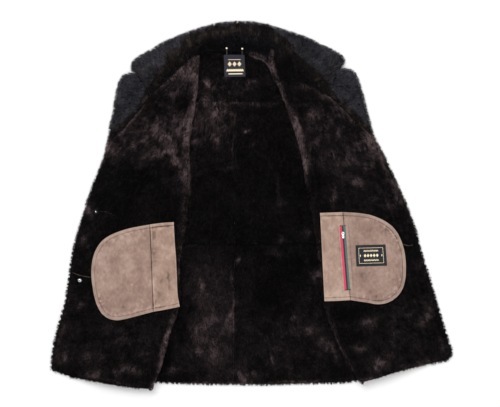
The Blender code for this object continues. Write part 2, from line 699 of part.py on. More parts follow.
def make_zip():
    """Two tapes, the chain between them, and the slider with its pull tab."""
    pocket = ["pocket_right_strip", "pocket_right_bag"]
    half, outer = CHAIN_WIDTH / 2, CHAIN_WIDTH / 2 + TAPE_WIDTH
    make_plate("zip_tape_red", zip_strip(-outer, -half - SEAM), 2, 9, pocket, SEWN_GAP, TAPE, "red_tape")
    make_plate("zip_tape_green", zip_strip(half + SEAM, outer), 2, 9, pocket, SEWN_GAP, TAPE, "green_tape")
    chain_top = make_plate("zip_chain", zip_strip(-half, half), 2, 9, pocket, SEWN_GAP, 2 * TAPE, "chain")

    top, _, down, across = zip_frame()
    across, down = np.r_[across, 0], np.r_[down, 0]
    up = np.array([0, 0, 1.0])
    base = np.r_[top + down[:2] * SLIDER_DOWN, chain_top + SEWN_GAP]
    width, length, height = SLIDER_PLATE
    outline = mirrored(PLATE_SHAPE, width / 2, length)
    slider = prism("zip_slider", outline, 0, height, (base, across, down, up), "chrome")
    ear_width, ear_length, ear_height = EAR
    for name, sign in (("near_ear", -1), ("far_ear", 1)):
        foot = base + across * sign * (EAR_GAP + ear_width) / 2
        outline = box_outline(ear_width, ear_length)
        ear = prism(name, outline, height - SUNK, height + ear_height, (foot, across, down, up), "chrome")
        combine(slider, ear, "UNION")
    pin_at = base + up * PIN_HEIGHT
    reach = (EAR_GAP + ear_width) / 2
    side_frame = (pin_at, down, up, across)
    pin = prism("pin", round_outline(PIN_RADIUS, 10), -reach, reach, side_frame, "chrome")
    combine(slider, pin, "UNION")

    bore, barrel, barrel_width = PULL_BARREL
    half = barrel_width / 2
    pull = prism("zip_pull", round_outline(barrel, 14), -half, half, side_frame, "chrome")
    tab_width, tab_length, tab_height = PULL_TAB
    start = (bore + barrel) / 2
    lying = down * math.cos(PULL_TILT) - up * math.sin(PULL_TILT)
    raised = up * math.cos(PULL_TILT) + down * math.sin(PULL_TILT)
    outline = mirrored(((TAB_SHAPE[0][0], start / tab_length),) + TAB_SHAPE, tab_width / 2, tab_length)
    tab_frame = (pin_at, across, lying, raised)
    tab = prism("tab", outline, -tab_height / 2, tab_height / 2, tab_frame, "chrome")
    hole = prism("bore", round_outline(bore, 14), -barrel_width, barrel_width, side_frame, "chrome")
    combine(pull, tab, "UNION")
    combine(pull, hole, "DIFFERENCE")
    put_origin(pull, pin_at)


def rest_height(body, at, radius):
    """Height at which a round piece clears the body below it."""
    spread = [np.array(round_outline(radius * share, 16)) for share in (0, 0.4, 0.8, 1.05)]
    return float(ground([body], np.concatenate(spread) + at).max()) + SEWN_GAP


def make_studs():
    """Chrome button backs on the left front."""
    for number, at in enumerate(STUDS, start=1):
        height = rest_height("front_left", at, STUD_RADIUS)
        turned_disc(f"stud_{number}", (*at, height), STUD_PROFILE, "chrome")


def make_rivets():
    """Two rivets on the collar's stand, that hold the hanger loop."""
    for number, (at, side) in enumerate(zip(RIVETS, ("left", "right")), start=1):
        height = rest_height(f"collar_{side}", at, RIVET_RADIUS)
        turned_disc(f"rivet_{number}", (*at, height), RIVET_PROFILE, "brass", 12)


def make_loop():
    """The cord loop that hangs from the rivets, behind the label."""
    left, right = np.array(RIVETS, float)
    plan = [left + (right - left) * a - np.array([0, LOOP_DROP * b]) for a, b in LOOP_PATH]
    path = along(plan, np.linspace(0, 1, 25))
    height = ground(["back_yoke", "collar_left", "collar_right"], path) + LOOP_RADIUS + LAYER_GAP
    for _ in range(2):
        height = np.maximum.reduce([height, np.r_[height[1:], height[-1]], np.r_[height[0], height[:-1]]])
    height = np.convolve(np.r_[[height[0]] * 2, height, [height[-1]] * 2], np.ones(5) / 5, "valid")
    centre = np.c_[path, height]
    run = np.gradient(centre, axis=0)
    run /= np.linalg.norm(run, axis=1, keepdims=True)
    flat = np.cross(run, (0, 0, 1.0))
    flat /= np.linalg.norm(flat, axis=1, keepdims=True)
    high = np.cross(flat, run)
    angles = np.linspace(0, 2 * np.pi, 8, endpoint=False)
    ring = centre[:, None] + LOOP_RADIUS * (
        flat[:, None] * np.cos(angles)[None, :, None] + high[:, None] * np.sin(angles)[None, :, None]
    )
    rows, around = ring.shape[:2]
    index = np.arange(rows * around).reshape(rows, around)
    after = np.roll(index, -1, axis=1)
    faces = np.stack([index[:-1], after[:-1], after[1:], index[1:]], axis=-1).reshape(-1, 4).tolist()
    faces += [tuple(index[0]), tuple(index[-1])]
    add_body("hanger_loop", ring.reshape(-1, 3), faces, "cord")


def make_labels():
    """The neck label over the loop, and the one on the right pocket."""
    behind = ["back_yoke", "hanger_loop"]
    make_plate("neck_label", NECK_LABEL, 5, 7, behind, SEWN_GAP, LABEL, "label_leather")
    make_plate("pocket_label", POCKET_LABEL, 5, 4, ["pocket_right_bag"], SEWN_GAP, LABEL, "label_leather")


clear_scene()
make_back()
for side_name in ("left", "right"):
    make_front(side_name)
    make_sleeve(side_name)
    make_collar(side_name)
    make_lapel(side_name)
    make_pocket(side_name)
make_zip()
make_studs()
make_rivets()
make_loop()
make_labels()
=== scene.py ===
"""Looks of the shearling coat: its pelts and their pile, suede pockets, trim, light and camera.

The coat lies on its back with the fur side up. Plan sizes and places are in
millimetres, repeated from the part's source, and become metres when a mesh is made.
Every piece is worked out on a grid: points across and down a piece, with the height
of its underside and of its top. "left" is the -X side and "right" the +X side.
"""

import math

import bpy
import numpy as np
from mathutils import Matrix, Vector


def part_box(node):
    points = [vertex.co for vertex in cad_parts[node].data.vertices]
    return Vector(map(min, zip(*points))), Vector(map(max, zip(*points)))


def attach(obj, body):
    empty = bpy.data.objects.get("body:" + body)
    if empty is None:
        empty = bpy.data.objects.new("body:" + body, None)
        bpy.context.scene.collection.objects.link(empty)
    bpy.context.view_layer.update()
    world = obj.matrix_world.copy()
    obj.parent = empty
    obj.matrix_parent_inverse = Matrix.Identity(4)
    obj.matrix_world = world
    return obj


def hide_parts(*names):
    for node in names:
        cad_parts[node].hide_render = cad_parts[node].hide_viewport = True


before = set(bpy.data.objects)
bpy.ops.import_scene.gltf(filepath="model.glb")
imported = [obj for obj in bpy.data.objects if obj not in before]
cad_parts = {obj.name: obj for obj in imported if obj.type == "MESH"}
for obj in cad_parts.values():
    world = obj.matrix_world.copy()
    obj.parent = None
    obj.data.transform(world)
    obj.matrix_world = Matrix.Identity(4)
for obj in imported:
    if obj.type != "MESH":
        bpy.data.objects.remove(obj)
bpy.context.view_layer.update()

MM = 0.001
SIDES = ("left", "right")
SIGN = {"left": -1, "right": 1}

# ---- Sizes and lines of the coat as it lies, in millimetres ----

PELT = 10.0
SLEEVE_PELT = 7.0
SKIN = 2.0
UNDERFUR = 5.0  # of a wall is skin and felted pile, and the rest are loose strands
COLLAR_UNDERFUR = 7.0
SEAM = 0.3  # the gap between two pieces at a seam
LAYER_GAP = 1.0
FOLD_INNER = 2.0  # radius of a rolled fold's skin side
FOLD_BLEND = 16.0  # across which a fold settles on the layers below
EDGE_ROUND = 9.0
EDGE_INSET = 2.0  # the pile reaches this much past the skin at a free edge
SEAM_ROUND = 4.0
FLOOR_CLEAR = 0.2
SLEEVE_ROUND = 14.0
SUEDE = 1.8
SUEDE_RIM = 0.8  # its thickness at a cut edge
SUEDE_ROUND = 1.6
LABEL = 1.4
LABEL_RIM = 0.4
LABEL_ROUND = 1.0
TAPE = 0.8

FOLD_OUTER = FOLD_INNER + PELT
FOLD_CENTRE = PELT + LAYER_GAP + FOLD_OUTER
FOLD_TOP = 2 * PELT + LAYER_GAP + 2 * FOLD_INNER
BODY_HEAP = 2 * (PELT + LAYER_GAP)
SLEEVE_HEAP = 2 * (SLEEVE_PELT + LAYER_GAP)

NECK = ((-131, 384), (-94, 388), (-36, 388), (-1, 380), (31, 369), (52, 352))
SHOULDERS = {"left": (-250, 316), "right": (188, 318)}
YOKE_SEAM_Y = 265
WAIST_SEAM_Y = -95
CENTRE_BACK = ((-36, 388), (-38, 265), (-43, -95), (-45, -446))
BACK_HEM = ((-372, -430), (-214, -442), (-94, -446), (-4, -447), (146, -444), (270, -436), (344, -412))

LINES = {
    "left": {
        "fold": (
            (-127, 378), (-133, 288), (-143, 223), (-152, 171), (-153, 61), (-160, -36),
            (-177, -134), (-176, -250), (-202, -322), (-221, -392.5), (-246, -461.5),
        ),
        "sleeve_in": (
            (-192, 332), (-198, 250), (-207, 165), (-200, 50), (-210, -36), (-224, -135),
            (-232, -268), (-262, -370), (-290, -456),
        ),
        "side": (
            (-250, 272), (-264, 200), (-286, 103), (-305, -95), (-322, -245), (-345, -350), (-372, -444),
        ),
        "sleeve_out": (
            (-322, 187), (-336, 130), (-356, 60), (-382, -50), (-396, -135), (-408, -270),
            (-428, -360), (-450, -429),
        ),
        "edge": (
            (-357, 176), (-372, 115), (-396, 55), (-416, -5), (-435, -65), (-449, -125),
            (-457, -180), (-468, -245), (-485, -305), (-498, -365), (-502, -409),
        ),
        "collar_top": (
            (-36, 459), (-64, 457.5), (-94, 453), (-124, 444), (-154, 434), (-184, 423), (-214, 410),
            (-244, 393), (-275, 375), (-293, 363), (-300, 350),
        ),
        "collar_end": ((-250, 273), (-270, 312), (-279, 326), (-292, 334), (-300, 350)),
        "lapel_top": ((-250, 272), (-270, 311), (-278, 324.5), (-301, 329), (-321, 325)),
        "lapel_edge": ((-321, 325), (-334, 295), (-341, 255), (-345, 235), (-352, 205), (-357, 178)),
    },
    "right": {
        "fold": (
            (62, 308), (72, 280), (90, 236), (110, 171), (123, 126), (131, 71), (145, -10),
            (164, -88), (175, -238), (208, -329), (240, -394), (270, -446),
        ),
        "sleeve_in": (
            (132, 304), (138, 235), (153, 165), (180, 40), (194, -36), (211, -135),
            (224, -250), (264, -360), (312, -432),
        ),
        "side": ((190, 276), (202, 200), (226, 103), (256, -95), (284, -245), (312, -350), (345, -421)),
        "sleeve_out": (
            (272, 199), (292, 140), (322, 50), (354, -50), (376, -135), (394, -280),
            (418, -350), (440, -397),
        ),
        "edge": (
            (306, 173), (327, 135), (346, 95), (364, 55), (383, 15), (406, -45), (428, -125),
            (447, -185), (471, -265), (483, -305), (495, -345), (501.5, -367), (497, -379), (486, -387),
        ),
        "collar_top": (
            (-36, 459), (-4, 458.5), (26, 454), (56, 446), (87, 437), (117, 427), (147, 415),
            (178, 400), (208, 385), (224, 376), (231, 362),
        ),
        "collar_end": ((190, 277), (203, 318), (211, 338), (222, 345), (231, 362)),
        "lapel_top": ((190, 276), (203, 317), (212, 336.5), (233, 341), (255, 336)),
        "lapel_edge": ((255, 336), (265, 315), (273, 290), (283, 255), (294, 215), (306, 175)),
    },
}

COLLAR_NECK = {
    "left": ((-36, 385), (-66, 385), (-94, 385), (-116, 384), (-127, 381)),
    "right": ((-36, 385), (-18, 382), (-1, 377), (16, 372), (31, 366), (45, 352), (53, 332), (60, 312)),
}

POCKETS = {
    "left": {
        "mouth": ((-194, -40), (-191.5, -88), (-188, -136), (-186, -180), (-184, -222), (-179, -251.5)),
        "seam": ((-254, -46), (-245, -264)),
        "strip_top": ((-254, -46), (-224, -42), (-194, -40)),
        "strip_foot": ((-245, -264), (-213, -258.5), (-179, -251.5)),
        "bag_top": (
            (-254, -46), (-310, -57), (-340, -67), (-353, -73), (-366, -81), (-376, -90), (-384, -101),
        ),
        "bag_side": (
            (-384, -101), (-391, -114), (-397, -133), (-400, -155), (-400, -180), (-397, -203), (-392, -229),
            (-385, -250), (-374, -269),
        ),
        "bag_foot": (
            (-245, -264), (-290, -276), (-318, -283), (-334, -285.5), (-348, -284), (-361, -279),
            (-374, -269),
        ),
    },
    "right": {
        "mouth": ((171, -17), (176.5, -127), (182, -238)),
        "seam": ((228, -15), (247, -235)),
        "strip_top": ((228, -15), (200, -16), (171, -17)),
        "strip_foot": ((247, -235), (215, -237), (182, -238)),
        "bag_top": ((228, -15), (272, -18), (299, -23), (318, -30), (335, -38.5), (352, -51)),
        "bag_side": (
            (352, -51), (364, -66), (374, -86), (381, -108), (385, -132), (386, -157), (384, -185),
            (378, -206), (367, -223), (352, -236),
        ),
        "bag_foot": ((247, -235), (290, -241.5), (315, -245.5), (335, -243), (352, -236)),
    },
}

BAND = 8.5  # from a pocket's sewn edge in to its stitches
# How dark a pocket's stitch groove and seam are painted: painted shade.
LINE_DARK = {"left": 0.72, "right": 1.0}  # of a pocket's grooves
SEATED = 2.2  # a pocket's edge sinks this far into the pile
STITCH = 3.4
STITCH_STEP = 4.6
THREAD = 0.7

ZIP_TOP = (226.8, -50.0)
ZIP_FOOT = (239.0, -208.0)
ZIP_LENGTH = math.dist(ZIP_TOP, ZIP_FOOT)
ZIP_DOWN = np.subtract(ZIP_FOOT, ZIP_TOP) / ZIP_LENGTH
ZIP_ACROSS = np.array([-ZIP_DOWN[1], ZIP_DOWN[0]])
ZIP_TURN = math.atan2(ZIP_DOWN[0], -ZIP_DOWN[1])
TAPE_WIDTH = 4.6
CHAIN_WIDTH = 4.3
CHAIN_HIGH = 1.6
TOOTH_STEP = 2.2
SLIDER_DOWN = 19.0
PULL_HIGH = 1.35  # of the pull tab above its pin
PULL_TILT = math.radians(9)
PULL_HALF_THICK = 0.55
# The dark plate across the pull tab, painted shade:
PULL_SHADE = (6.0, 1.25, 1.9)  # middle below the pin, half length, half width

NECK_LABEL = ((-69.5, 378), (-17.5, 378), (-14.5, 323), (-67.5, 322))
NECK_LABEL_LOW = 11.0
NECK_LABEL_RISES = ((3.4, 346, 14), (5.0, 363, 15))  # how high, from what height, over what length
POCKET_LABEL = ((259.5, -98), (334.5, -96), (338.5, -149), (262.0, -151))

RIVETS = ((-62.0, 394.0), (-23.0, 393.0))
STUDS = ((-389.0, -14.5), (-429.0, -186.0))
LOOP_RADIUS = 1.3
LOOP_DROP = 30.0
LOOP_LOW = 12.3
LOOP_RISE = 11.5  # from there up to the rivets
LOOP_RISES = (364, 25)  # from what height on the coat, and over what length
LOOP_PATH = ((0, 0.17), (0.03, 0.6), (0.15, 0.92), (0.5, 1), (0.85, 0.92), (0.97, 0.6), (1, 0.17))
CORD_LAY = 7.0  # along which its plies make a turn
CORD_SIDES = 14

# Bound slits in the fronts, each with how high it stands on the skin's pile.
SLITS = {
    "left": (
        (((-449, -165.5), (-430, -173), (-401, -178.5)), 4.6), (((-381, -13), (-357, -16), (-341, -25)), 0.6),
    ),
    "right": ((((378, -95), (392, -99), (404, -97)), 4.2),),
}
LIP_RADIUS = 0.5
LIP_POINTS = 24

# The turned shapes of a button's back and of a rivet: radius and height at each point, and between which
# points the metal is bright: the upper button's middle, a ring on the lower one, and a rivet's cap. On the
# buttons the bright chrome is sized to the glint each shows, a painted highlight, and the rest is dark plate.
STUD_TURNED = (
    (0, 0), (5.3, 0), (5.5, 0.25), (5.5, 0.7), (5.2, 1.1), (4.6, 1.3), (4.15, 1.15), (3.9, 0.95), (3.75, 1.3),
    (3.5, 1.75), (2.8, 2.15), (1.8, 2.42), (1.15, 2.52), (0.7, 2.56), (0, 2.6),
)
STUD_BRIGHT = ((12, 14), (6, 11))
RIVET_TURNED = (
    (0, 0), (3.1, 0), (3.2, 0.25), (3.15, 0.55), (2.8, 0.85), (2.45, 0.75), (2.3, 1.0), (1.9, 1.4),
    (1.1, 1.7), (0, 1.8),
)
RIVET_BRIGHT = (5, 9)
TURNED_SIDES = 28

# Where the right front's brown pile shows past the collar, by the neck, with the top
# of its lit fold and the lit edge of the neck.
NECK_TURN = [(48, 386), (61, 386), (89, 338), (133, 306), (118, 296), (63, 300), (50, 350)]
NECK_FOLD = ((51, 383), (48, 366), (54, 342), (65, 312))
NECK_EDGE = ((-1, 379), (16, 374.5), (31, 369), (46, 351), (53, 334))

# Where the collar and lapels roll over, from the left lapel's foot to the right one's.
ROLL_LINE = (
    (-350, 178), (-304, 222), (-268, 259), (-253, 297), (-226, 334), (-196, 372), (-161, 408), (-110, 436),
    (-36, 447), (38, 441), (88, 402), (141, 346), (181, 305), (213, 267), (248, 230), (295, 196),
)

# The front falls away this near its fold, and a pocket stays level there, up to its mouth.
CLEAR_OF_FOLD = 15.0

# Where the stitches gather the suede, its ridges lightened as painted highlights, and where the suede is
# paler or darker in patches, one at the right strip's top corner a painted highlight: middle, half length,
# half width, angle, strength.
PUCKERS = {
    "left": (
        (-352, -94, 34, 20, 40, 1.6), (-374, -236, 34, 20, 70, 1.6), (-300, -268, 40, 14, 10, 0.8),
        (-240, -248, 14, 12, 0, 1.0), (-290, -66, 40, 12, 10, 0.7), (-214, -56, 24, 10, 0, 0.9),
    ),
    "right": (
        (358, -76, 34, 20, -40, 1.8), (362, -204, 34, 20, 60, 1.8), (184, -30, 16, 12, 0, 1.2),
        (214, -222, 26, 10, 0, 1.2), (300, -34, 40, 12, -10, 0.7), (320, -232, 40, 14, 0, 0.8),
    ),
}
SUEDE_MARKS = {
    "left": (
        (-341, -165, 44, 16, 95, -0.6), (-311, -188, 18, 11, 0, -0.5), (-262, -160, 70, 12, 92, 0.4),
        (-207, -184, 44, 4, 95, -0.7), (-212, -142, 30, 15, 90, 0.4), (-226, -206, 34, 11, 92, -0.5),
        (-224, -57, 26, 3, 5, 0.9), (-319, -256, 5, 5, 0, -0.9), (-319, -256, 2, 2, 0, 1.2),
        (-298.5, -195, 2.2, 2.2, 0, 1.6), (-300, -240, 34, 20, 20, -0.25),
    ),
    "right": (
        (278, -187, 44, 24, 95, -0.34), (270, -211, 6, 4, 20, -0.4), (312, -224, 4, 3, 0, -0.5),
        (330, -180, 30, 18, 80, 0.3), (300, -60, 50, 16, -8, -0.3), (214, -219, 24, 4, 0, 0.8),
        (196, -120, 60, 14, 92, 0.25), (184, -30, 9, 3, 10, 0.9), (315, -195, 60, 34, 0, -0.3),
    ),
}

# Rows of a front as fractions from the groove to the hem, with how much of the
# sleeve's height lies below each, and columns from the fold out, with the share of
# the body's layers and of the sleeve's below each.
FRONT_ROWS = np.r_[
    0, 0.006, 0.05, 0.068, np.linspace(0.13, 0.70, 9), 0.75, 0.768, 0.815, 0.875, 0.935, 0.989, 0.9968, 1
]
SLEEVE_ROWS = (2, 14)
SLEEVE_EDGE = 0.6
COLUMNS = (
    ("fold", 1, 0), ("settled", 1, 0.05), ("sleeve_in", 1, SLEEVE_EDGE), ("sleeve_in_full", 1, 1),
    ("side", 1, 1), ("between", 0.5, 1), ("sleeve_out_full", 0.12, 1), ("sleeve_out", 0, SLEEVE_EDGE),
    ("edge_fall", 0, 0), ("edge_round", 0, 0), ("edge", 0, 0),
)
COLUMN_NAMES = [name for name, _, _ in COLUMNS]
ROUND_COLUMN = 0.3
COLLAR_STAND = 0.3  # of the collar's width stands as high as its neck edge
COLLAR_CLIMB = 0.93  # its cube is how far the neck edge climbs from yoke to fold's top
NECK_COLUMNS = 5  # columns over which the collar's neck edge reaches down to the yoke

# ---- Grids ----


def ease(x):
    """Smooth step: 0 below 0, 1 above 1, and x squared times 3 less 2x between."""
    x = np.clip(x, 0, 1)
    return x * x * (3 - 2 * x)


def bell(far, width):
    """A bell: e to minus the square of a distance over a width."""
    return np.exp(-((far / width) ** 2))


def unit(vectors):
    """Vectors divided by their lengths."""
    return vectors / np.maximum(np.linalg.norm(vectors, axis=-1, keepdims=True), 1e-9)


def reach_along(line):
    """How far along a line's chords each of its points is."""
    return np.r_[0, np.cumsum(np.linalg.norm(np.diff(line, axis=0), axis=1))]


def between(at, reach, rows):
    """Rows of values at places along a line, straight between those at its points."""
    return np.stack([np.interp(at, reach, column) for column in rows.T], -1)


def left_of(line):
    """Level unit steps to the left of a line's run, at its points."""
    run = unit(np.gradient(line, axis=0))
    return np.c_[-run[:, 1], run[:, 0]]


def at_height(y, table):
    """Values at heights on the coat from a table of heights, downwards, and values."""
    heights, values = np.array(table, float).T
    return np.interp(-y, -heights, values)


def across_at(y, line):
    """How far across a line down the coat lies, at heights."""
    return at_height(y, np.array(line, float)[:, ::-1])


def along(line, fractions):
    """Points on a smooth curve through a line's points, a cubic between each two of
    them whose slopes come from the neighbours, at fractions of the chords' length."""
    points = np.asarray(line, float)
    reach = reach_along(points)
    knots = reach / reach[-1]
    slopes = np.gradient(points, knots, axis=0)
    fractions = np.asarray(fractions, float)
    k = np.clip(np.searchsorted(knots, fractions, side="right") - 1, 0, len(knots) - 2)
    span = (knots[k + 1] - knots[k])[:, None]
    s = (fractions - knots[k])[:, None] / span
    start = (1 + 2 * s) * (1 - s) ** 2 * points[k] + s * (1 - s) ** 2 * span * slopes[k]
    end = s**2 * (3 - 2 * s) * points[k + 1] + s**2 * (s - 1) * span * slopes[k + 1]
    return start + end


def patch(west, east, north, south, across, down):
    """Plan points between four rows of edge points: the blend from west to east, plus
    the blend from north to south, less the blend of the four corners."""
    w, e, n, s = west[:, None], east[:, None], north[None], south[None]
    u, v = across[None, :, None], down[:, None, None]
    corners = (1 - u) * ((1 - v) * w[0] + v * w[-1]) + u * ((1 - v) * e[0] + v * e[-1])
    return (1 - u) * w + u * e + (1 - v) * n + v * s - corners


def line_patch(west, east, north, south, across, down):
    """The same between four smooth lines."""
    edges = (along(west, down), along(east, down), along(north, across), along(south, across))
    return patch(*edges, across, down)


def steps(count, width, rounding):
    """Fractions of a width, closer at both ends, where the wall rounds off."""
    first = rounding / width
    near = first * np.array([0, 0.12, 0.35, 0.65])
    return np.r_[near, np.linspace(first, 1 - first, count), 1 - near[::-1]]


def pull_in(grid, west, east, north, south):
    """Moves each border of a grid inwards by its own distance, most at the border and
    less over the next 12 mm, so that no cell turns over."""
    grid = grid.copy()
    upright = grid.swapaxes(0, 1)
    for by, lines in ((west, upright), (east, upright[::-1]), (north, grid), (south, grid[::-1])):
        way = unit(lines[4:5] - lines[:1])
        far = np.linalg.norm(lines - lines[:1], axis=-1, keepdims=True)
        lines += by * way * (1 - ease(far / 12))
    return grid


def rounded(grid, west, east, north, south):
    """Share of the full wall: near each edge it rises as a quarter circle does over
    that edge's rounding, and the shares of the four edges multiply."""
    share = np.ones(grid.shape[:2])
    edges = ((grid[:, :1], west), (grid[:, -1:], east), (grid[:1], north), (grid[-1:], south))
    for edge, rounding in edges:
        if rounding:
            reach = np.clip(np.linalg.norm(grid - edge, axis=-1) / rounding, 0, 1)
            share = share * np.sqrt(1 - (1 - reach) ** 2)
    return share


def thick(share, full):
    """A wall's thickness: the skin at a rounded edge, the full wall inside."""
    return SKIN + (full - SKIN) * share


def blurred(height, times):
    """Each height averaged with its four neighbours, which soften it a row at a time."""
    for _ in range(times):
        wide = np.pad(height, 1, "edge")
        height = (wide[:-2, 1:-1] + wide[2:, 1:-1] + wide[1:-1, :-2] + wide[1:-1, 2:] + 4 * height) / 8
    return height


def noise(points, size, seed):
    """Smooth random values from -1 to 1: a lattice of seeded values, a size apart, eased
    between its points and turned a little so that its rows don't show."""
    turn = 0.6 + seed
    x = (points[..., 0] * math.cos(turn) - points[..., 1] * math.sin(turn)) / size
    y = (points[..., 0] * math.sin(turn) + points[..., 1] * math.cos(turn)) / size
    lattice = np.random.default_rng(seed).uniform(-1, 1, (97, 97))
    i, j = np.floor(x).astype(int), np.floor(y).astype(int)
    a, b = ease(x - i), ease(y - j)
    near, far = lattice[i % 97, j % 97], lattice[(i + 1) % 97, j % 97]
    near_up, far_up = lattice[i % 97, (j + 1) % 97], lattice[(i + 1) % 97, (j + 1) % 97]
    return (near * (1 - a) + far * a) * (1 - b) + (near_up * (1 - a) + far_up * a) * b


def from_segment(points, start, end):
    """Distance from a straight stretch, and the share along it of the nearest point."""
    start, end = np.array(start, float), np.array(end, float)
    run = end - start
    share = np.clip(((points - start) @ run) / (run @ run), 0, 1)
    return np.linalg.norm(points - start - share[..., None] * run, axis=-1), share


def from_line(points, line):
    """Distance from a line through its points."""
    spans = [from_segment(points, a, b)[0] for a, b in zip(line[:-1], line[1:])]
    return np.minimum.reduce(spans)


def within(points, outline):
    """Whether each point lies inside a closed outline: how often a ray to the right
    crosses it is odd."""
    x, y = points[..., 0], points[..., 1]
    inside = np.zeros(x.shape, bool)
    for (x0, y0), (x1, y1) in zip(outline, outline[1:] + outline[:1]):
        crosses = (y0 > y) != (y1 > y)
        inside ^= crosses & (x < x0 + (y - y0) * (x1 - x0) / (y1 - y0 + 1e-9))
    return inside


# ---- Meshes ----


def new_piece(name, points, faces, finishes, kind=None, body="coat", smooth=None):
    """A mesh from points in millimetres and an array of faces of one size. kind gives
    each face's finish. smooth is the sharpest angle that is shaded smooth."""
    points = np.asarray(points, float).reshape(-1, 3) * MM
    faces = np.asarray(faces)
    mesh = bpy.data.meshes.new(name)
    mesh.vertices.add(len(points))
    mesh.vertices.foreach_set("co", points.ravel())
    mesh.loops.add(faces.size)
    mesh.loops.foreach_set("vertex_index", faces.ravel())
    mesh.polygons.add(len(faces))
    mesh.polygons.foreach_set("loop_start", np.arange(0, faces.size, faces.shape[1]))
    mesh.update(calc_edges=True)
    for finish in finishes:
        mesh.materials.append(finish)
    if kind is not None:
        mesh.polygons.foreach_set("material_index", np.asarray(kind, np.int32))
    mesh.shade_smooth()
    if smooth:
        mesh.set_sharp_from_angle(angle=math.radians(smooth))
    piece = bpy.data.objects.new(name, mesh)
    bpy.context.scene.collection.objects.link(piece)
    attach(piece, body)
    return piece


def outwards(points, faces):
    """Faces of a closed shape, all turned round if the volume inside them is negative:
    the sum of each face's corner triangles' triple products."""
    a, b, c = (points[faces[:, k]] for k in (0, 1, 2))
    volume = np.einsum("ij,ij->", a, np.cross(b, c))
    if faces.shape[1] == 4:
        volume += np.einsum("ij,ij->", a, np.cross(c, points[faces[:, 3]]))
    return faces if volume > 0 else faces[:, ::-1]


def wall(top, foot):
    """Points and four-sided faces of a closed wall between two grids of points, and
    each face's kind: 0 on its top and rim, 1 on its foot."""
    rows, cols = top.shape[:2]
    index = np.arange(rows * cols).reshape(rows, cols)
    under = rows * cols
    sheet = np.stack([index[:-1, :-1], index[:-1, 1:], index[1:, 1:], index[1:, :-1]], -1).reshape(-1, 4)
    rim = np.r_[index[0], index[1:, -1], index[-1, -2::-1], index[-2:0:-1, 0]]
    after = np.roll(rim, -1)
    walls = np.stack([rim, rim + under, after + under, after], -1)
    points = np.concatenate([top.reshape(-1, 3), foot.reshape(-1, 3)])
    faces = outwards(points, np.concatenate([sheet, sheet[:, ::-1] + under, walls]))
    kind = np.repeat([0, 1, 0], [len(sheet), len(sheet), len(walls)])
    return points, faces, kind


def joined(parts):
    """Points and faces of several meshes as one."""
    starts = np.cumsum([0] + [len(points) for points, _ in parts[:-1]])
    points = np.concatenate([points for points, _ in parts])
    return points, np.concatenate([faces + start for (_, faces), start in zip(parts, starts)])


def ring_faces(count, around):
    """Four-sided faces between rings of points that follow one another."""
    index = np.arange(count).reshape(-1, around)
    after = np.roll(index, -1, axis=1)
    return np.stack([index[:-1], after[:-1], after[1:], index[1:]], -1).reshape(-1, 4)


def tube(path, radius, around):
    """A round tube along a path, closed at both ends by drawing its last rings in to a
    point: a circle across the run of the path at each of its points. The radius is one
    value, one for each point, or one for each point and each angle."""
    path = np.asarray(path, float)
    run = unit(np.gradient(path, axis=0))
    flat = unit(np.cross(run, (0, 0, 1.0)) + np.array([1e-6, 0, 0]))
    high = np.cross(flat, run)
    angles = np.linspace(0, 2 * np.pi, around, endpoint=False)
    radius = np.asarray(radius, float)
    radius = np.broadcast_to(radius if radius.ndim == 2 else radius.reshape(-1, 1), (len(path), around))
    path = np.concatenate([path[:1], path, path[-1:]])
    tip = np.full((1, around), 1e-3)
    ring = np.concatenate([tip, radius, tip])[..., None]
    flat, high = (np.concatenate([way[:1], way, way[-1:]])[:, None] for way in (flat, high))
    circle = flat * np.cos(angles)[None, :, None] + high * np.sin(angles)[None, :, None]
    points = (path[:, None] + ring * circle).reshape(-1, 3)
    return points, outwards(points, ring_faces(len(points), around))


def rod(stations, radii):
    """A six-sided tube along the X axis, with a radius at each of its stations."""
    return tube(np.array(stations)[:, None] * (1.0, 0, 0), radii, 6)


def plate(name, grid, top, foot, finish):
    """A thin piece on a plan grid, from its foot's heights to its top's. Gives it and
    its top."""
    sheet = np.dstack([grid, top])
    points, faces, _ = wall(sheet, np.dstack([grid, foot]))
    return new_piece(name, points, faces, [finish], smooth=50), sheet


def copies(points, faces, centres, runs):
    """A shape repeated at many places: its X axis lies along each place's run, its Y axis
    level across it, and its Z axis up."""
    centres, runs = np.asarray(centres, float), unit(np.asarray(runs, float))
    side = unit(np.cross((0, 0, 1.0), runs))
    up = np.cross(runs, side)
    x, y, z = (points[None, :, k : k + 1] for k in range(3))
    placed = centres[:, None] + x * runs[:, None] + y * side[:, None] + z * up[:, None]
    starts = np.arange(len(centres))[:, None, None] * len(points)
    return placed.reshape(-1, 3), (faces[None] + starts).reshape(-1, faces.shape[1])


def give(piece, name, values):
    """Stores a value at each point of a piece, for its finish to read."""
    attribute = piece.data.attributes.new(name, "FLOAT", "POINT")
    attribute.data.foreach_set("value", np.asarray(values, np.float32).ravel())


def cell_areas(grid):
    """Area of each cell of a grid: half the cross product of its diagonals."""
    across, down = grid[1:, 1:] - grid[:-1, :-1], grid[1:, :-1] - grid[:-1, 1:]
    return np.linalg.norm(np.cross(across, down), axis=-1) / 2


def lengths(grid):
    """A grid's greatest width and length along its rows and columns, and its area."""
    width = np.linalg.norm(np.diff(grid, axis=1), axis=-1).sum(1).max()
    length = np.linalg.norm(np.diff(grid, axis=0), axis=-1).sum(0).max()
    return width * MM, length * MM, cell_areas(grid).sum() * MM * MM


def declare(grid, nodes):
    """Hides a piece's nodes. Its width, length and area are worked out from its grid, but nothing uses them.
    """
    width, length, area = lengths(grid)
    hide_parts(*nodes)


# ---- Finishes ----


class Wire:
    """A node's output. Arithmetic on it adds Math nodes."""

    def __init__(self, finish, socket):
        self.finish = finish
        self.socket = socket

    def math(self, operation, *values):
        """A Math node of an operation on values or wires."""
        return self.finish.node("ShaderNodeMath", {"operation": operation}, dict(enumerate(values)))

    def __add__(self, other):
        return self.math("ADD", self, other)

    def __mul__(self, other):
        return self.math("MULTIPLY", self, other)


